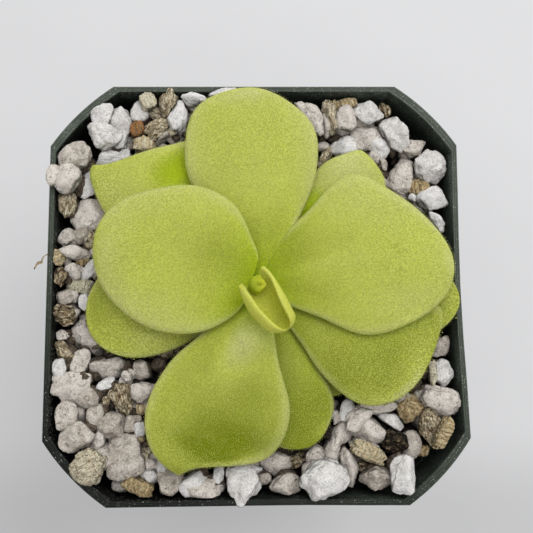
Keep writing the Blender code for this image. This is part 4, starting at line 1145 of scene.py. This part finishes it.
# %% Coarse grains
KINDS = {
    "perlite_grains": (PERLITE, perlite_finish, dict(planes=13, hardness=11, rough=0.085)),
    "pumice_grains": (PUMICE, pumice_finish, dict(planes=11, hardness=9, rough=0.08)),
    "vermiculite_grains": (
        VERMICULITE, vermiculite_finish, dict(block=True, hardness=3.8, rough=0.11, lines=(8.5, 1.2, 0)),
    ),
    "bark_grains": (BARK, bark_finish, dict(planes=10, hardness=12, rough=0.13, lines=(0.9, 4.5, 4.5))),
}
GROWN = 1.09
draw = random.Random(5)
small_white, small_dark = new_heap(), new_heap()
for name, (rows, material, manner) in KINDS.items():
    heap = new_heap()
    for x, y, z, length, width, turn, *tone in rows:
        length, width = GROWN * length, GROWN * width
        depth = 0.42 * (length + width)
        z = min(z, top_under(x, y, length / 2) - depth / 2)
        tone = tone[0] if tone else draw.random()
        detail = 5 if length >= 6 else 4 if length > 2.6 else 3
        add_stone(heap, draw, (x, y, z), (length, width, depth), turn, tone, detail, **manner)
        if z - depth / 2 > bed_height(x, y) - 0.4:
            low = (x * 0.97, y * 0.97, (z + bed_height(x, y) + 0.3) / 2)
            under = small_white if draw.random() < 0.5 else small_dark
            add_stone(under, draw, low, (length * 0.8, width * 0.8, depth), turn, 0.4, 3)
    finish(heap, name, material, ["potting_mix"])

# %% [markdown]
# Between the coarse grains lie hundreds of small ones. Nobody could place those one by one:
# each goes to its own square of a loose grid, moved a little by chance, which fills the
# surface evenly without heaps or holes.

# %% Smaller grains by rule
SMALL_STEP, WALL_CLEAR, CORNER_CLEAR, STEM_CLEAR = 2.25, 35.6, 60.5, 4.5
count = 0
for i in range(-16, 17):
    for j in range(-16, 17):
        x, y = i * SMALL_STEP + draw.uniform(-0.8, 0.8), j * SMALL_STEP + draw.uniform(-0.8, 0.8)
        length, turn = draw.uniform(1.6, 3.8), draw.uniform(0, 180)
        pale = draw.random() < (0.35 if y > 0 else 0.22)
        size = (length, length * draw.uniform(0.65, 0.9), length * 0.7)
        out, reach = max(abs(x), abs(y)), length / 2
        inside = out < WALL_CLEAR - reach and abs(x) + abs(y) < CORNER_CLEAR - reach
        if not inside or math.hypot(x - AXIS.x, y - AXIS.y) < STEM_CLEAR + reach:
            continue
        z = min(bed_height(x, y) + draw.uniform(-0.3, 0.5), top_under(x, y, reach) - 0.35 * length)
        heap, detail = small_white if pale else small_dark, 3 if length > 3.0 and out > 20 else 2
        add_stone(heap, draw, (x, y, z), size, turn, draw.random(), detail, planes=9)
        count += 1
finish(small_white, "small_perlite", pumice_finish, ["potting_mix"])
finish(small_dark, "small_grit", fine_finish, ["potting_mix"])
print("small grains:", count)

# %% [markdown]
# What still shows between the grains is the fine bed. It is pulled like the pot's wall: up
# the inside of the pot, then in smaller and smaller rings to the middle, with ripples.

# %% Bed of fine grit
BED_RINGS = 24
body = [
    pot_ring(FOOT_HALF - 0.9, 7.6, FLOOR_TOP + 0.3), pot_ring(RIM_HALF - 2.9, 10.7, COLLAR_FOOT - 0.1),
    pot_ring(RIM_HALF - 1.8, 11.3, COLLAR_FOOT + 1.3),
]
for step in range(BED_RINGS, 0, -1):
    ring = pot_ring((RIM_HALF - 1.9) * step / BED_RINGS, 11.3 * step / BED_RINGS, 0)
    for point in ring:
        ripple = noise.noise(point * 0.8) * 0.5 + noise.noise(point * 2.3) * 0.3
        point.z = bed_height(point.x, point.y) - 1.2 + ripple
    body.append(ring)
bed = pull_wall(body)
tint, local = bed.verts.layers.float.new("tint"), bed.verts.layers.float_vector.new("local")
for vert in bed.verts:
    vert[tint] = 0.6 + 0.4 * noise.noise(vert.co * 1.4)
    vert[local] = vert.co
finish(bed, "grit_bed", fine_finish, ["potting_mix"])

# %% [markdown]
# ## Stem
# A short neck that the leaves grow from; little of it shows. A profile is spun once round the
# plant's axis, its doubles merged, and ribs left by old leaf bases are pressed in.

# %% Stem
PROFILE = (
    (0.0, 75.0), (0.7, 75.0), (1.2, 74.6), (1.4, 73.2), (2.5, 71.7), (2.75, 69.6), (3.0, 66.5),
    (3.0, 59.0), (2.2, 56.6), (1.0, 56.0), (0.0, 56.0),
)
bm = bmesh.new()
verts = [bm.verts.new((radius, 0, height)) for radius, height in PROFILE]
edges = [bm.edges.new(pair) for pair in zip(verts, verts[1:])]
bmesh.ops.spin(
    bm, geom=verts + edges, cent=(0, 0, 0), axis=(0, 0, 1), angle=math.tau, steps=36, use_merge=True
)
bmesh.ops.remove_doubles(bm, verts=bm.verts, dist=0.01)
bmesh.ops.subdivide_edges(bm, edges=bm.edges, cuts=2, use_grid_fill=True)
for vert in bm.verts:
    turn = math.atan2(vert.co.y, vert.co.x)
    vert.co.xy *= 1 + 0.05 * math.sin(5 * turn + vert.co.z * 0.9) * smooth_step(0.3, 1.2, vert.co.xy.length)
bmesh.ops.recalc_face_normals(bm, faces=bm.faces)
bmesh.ops.translate(bm, verts=bm.verts, vec=(AXIS.x, AXIS.y, 0))
stem_skin, g, stem_inputs = new_material(
    "stem_skin", (0.30, 0.40, 0.01), 0.5, Subsurface_Weight=0.4, Subsurface_Scale=0.001
)
fibre = g.noise(g.stretched(g.place(), (1, 1, 0.2)), 1800.0, 3.0, 0.6)
skin = g.mix(g.ramp(fibre, 0.3, 0.7), (0.24, 0.34, 0.004, 1), (0.38, 0.46, 0.02, 1))
g.feed(stem_inputs, Base_Color=skin, Normal=g.bump(fibre, 0.4, 0.0001))
finish(bm, "stem_neck", stem_skin, ["crown_stem"])

# %% [markdown]
# ## A stray shred
# A crumb of dry husk hangs over the left rim. A small ring is extruded along a crooked path,
# roughened, and thinned towards its ends.

# %% Shred
PATH = (
    (-37.4, 6.6, 70.1), (-38.3, 6.0, 70.6), (-38.6, 4.9, 70.7), (-39.2, 4.8, 70.6), (-39.6, 4.4, 70.5),
    (-39.9, 3.8, 70.4),
)
GIRTHS = (0.10, 0.09, 0.20, 0.27, 0.17, 0.13)
bm = bmesh.new()
ring = bmesh.ops.create_circle(bm, cap_ends=True, segments=8, radius=1.0)["verts"]
edges, middle = bm.edges[:], Vector()
for place, girth in zip(PATH, GIRTHS):
    if place != PATH[0]:
        ring, edges = extrude_ring(bm, edges)
    spokes = [(vert, (vert.co - middle).normalized()) for vert in ring]
    middle = Vector(place)
    for vert, spoke in spokes:
        vert.co = middle + spoke * girth * (1 + 0.3 * noise.noise(middle * 3 + spoke))
bmesh.ops.edgeloop_fill(bm, edges=edges)
tint, local = bm.verts.layers.float.new("tint"), bm.verts.layers.float_vector.new("local")
for vert in bm.verts:
    vert[tint], vert[local] = 0.45, vert.co
bmesh.ops.recalc_face_normals(bm, faces=bm.faces)
finish(bm, "husk_shred", vermiculite_finish)

# %% [markdown]
# ## Gland hairs
# The frosted look of the leaves is thousands of tiny stalked glands, each with a drop of glue.
# Particles or hair curves would be lost on export, so one small gland is modelled, a thin
# stalk with an eight-sided drop on it, and later scattered as real mesh.


# %% One gland
GLAND_HEIGHT, GLAND_HEAD, STALK_FOOT = 0.28, 0.06, 0.035


def open_cone(bm, segments, foot, top, height):
    """Adds a cone without its end faces, and returns its points."""
    made = bmesh.ops.create_cone(
        bm, cap_ends=False, segments=segments, radius1=foot, radius2=top, depth=height
    )
    return made["verts"]


bm = bmesh.new()
stalk = open_cone(bm, 3, STALK_FOOT, 0.0, GLAND_HEIGHT)
bmesh.ops.translate(bm, verts=stalk, vec=(0, 0, GLAND_HEIGHT / 2 - 0.03))
head = open_cone(bm, 4, 0.0, GLAND_HEAD, GLAND_HEAD)
cap = open_cone(bm, 4, GLAND_HEAD, 0.0, GLAND_HEAD)
bmesh.ops.translate(bm, verts=cap, vec=(0, 0, GLAND_HEAD))
bmesh.ops.translate(bm, verts=head + cap, vec=(0, 0, GLAND_HEIGHT))
bmesh.ops.remove_doubles(bm, verts=bm.verts, dist=0.002)
bmesh.ops.recalc_face_normals(bm, faces=bm.faces)
gland = to_object(bm, "gland")
gland.data.shade_smooth()
print("faces in a gland:", len(gland.data.polygons))

# %% [markdown]
# A geometry node tree does the scattering: points no closer than 0.32 mm on the faces that
# look up, as many as the `frost` mark allows, a gland of chance size on each, some swollen
# where the frost is thickest, and all made real mesh at the end.

# %% Scatter tree
GLAND_SPACING = 0.32
scatter = bpy.data.node_groups.new("scatter_glands", "GeometryNodeTree")
scatter.interface.new_socket(name="Blade", in_out="INPUT", socket_type="NodeSocketGeometry")
scatter.interface.new_socket(name="Glands", in_out="OUTPUT", socket_type="NodeSocketGeometry")
g = Graph(scatter)
blade_in = g.node("NodeGroupInput").outputs["Blade"]
faces_up = g.split(g.node("GeometryNodeInputNormal").outputs[0])["Z"]
frost = g.node("GeometryNodeInputNamedAttribute", {"Name": "frost"}, data_type="FLOAT").outputs[0]
upper = g.node("FunctionNodeCompare", {0: faces_up, 1: -0.3}, data_type="FLOAT", operation="GREATER_THAN")
points = g.node(
    "GeometryNodeDistributePointsOnFaces",
    {
        "Mesh": blade_in, "Selection": upper.outputs[0], "Distance Min": GLAND_SPACING * MM,
        "Density Max": 3e7, "Density Factor": g.clamp(frost), "Seed": 3,
    },
    distribute_method="POISSON",
).outputs
size = g.node("FunctionNodeRandomValue", {2: 0.75, 3: 1.25, "Seed": 4}, data_type="FLOAT").outputs[1]
chance = g.node("FunctionNodeRandomValue", {2: 0.0, 3: 1.0, "Seed": 9}, data_type="FLOAT").outputs[1]
upright = g.split(points["Normal"])["Z"]
swollen = g.math("GREATER_THAN", g.times(chance, frost), 1.25)
swollen = g.times(swollen, g.math("GREATER_THAN", upright, 0.7))
size = g.plus(g.times(size, g.ramp(upright, 0.0, 0.7, 0.5, 1.0)), g.times(swollen, 1.1))
which = g.node("GeometryNodeObjectInfo", {"Object": gland}).outputs["Geometry"]
placed = g.node(
    "GeometryNodeInstanceOnPoints",
    {"Points": points["Points"], "Instance": which, "Rotation": points["Rotation"], "Scale": size},
)
real = g.node("GeometryNodeRealizeInstances", {"Geometry": placed.outputs[0]}).outputs[0]
g.feed(g.node("NodeGroupOutput").inputs, Glands=real)
print("scatter nodes:", len(scatter.nodes))

# %% [markdown]
# The tree runs once on each open leaf. What it makes becomes an object of its own, so that
# the blade keeps its own finish and the glands get that of a slightly cloudy drop of glue.

# %% Glands on every blade
glue, g, glue_inputs = new_material("glue_drop", (0.66, 0.73, 0.16), 0.2, Coat_Weight=0.3)
cloudy = g.ramp(g.noise(g.place(), 700.0), 0.3, 0.7)
tint = g.mix(cloudy, (0.60, 0.69, 0.10, 1), (0.76, 0.80, 0.30, 1))
g.feed(glue_inputs, Base_Color=tint, Roughness=g.ramp(cloudy, 0.0, 1.0, 0.35, 0.15))
for name in LEAVES:
    blade = bpy.data.objects[name + "_blade"]
    blade.modifiers.new("glands", "NODES").node_group = scatter
    mesh = applied(blade)
    mesh.materials.clear()
    mesh.materials.append(glue)
    mesh.name = name + "_glands"
    obj = add_object(mesh.name, mesh)
    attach(obj, "root")
    print(obj.name, "faces", len(mesh.polygons))
bpy.data.objects.remove(gland, do_unlink=True)

# %% [markdown]
# ## Finish
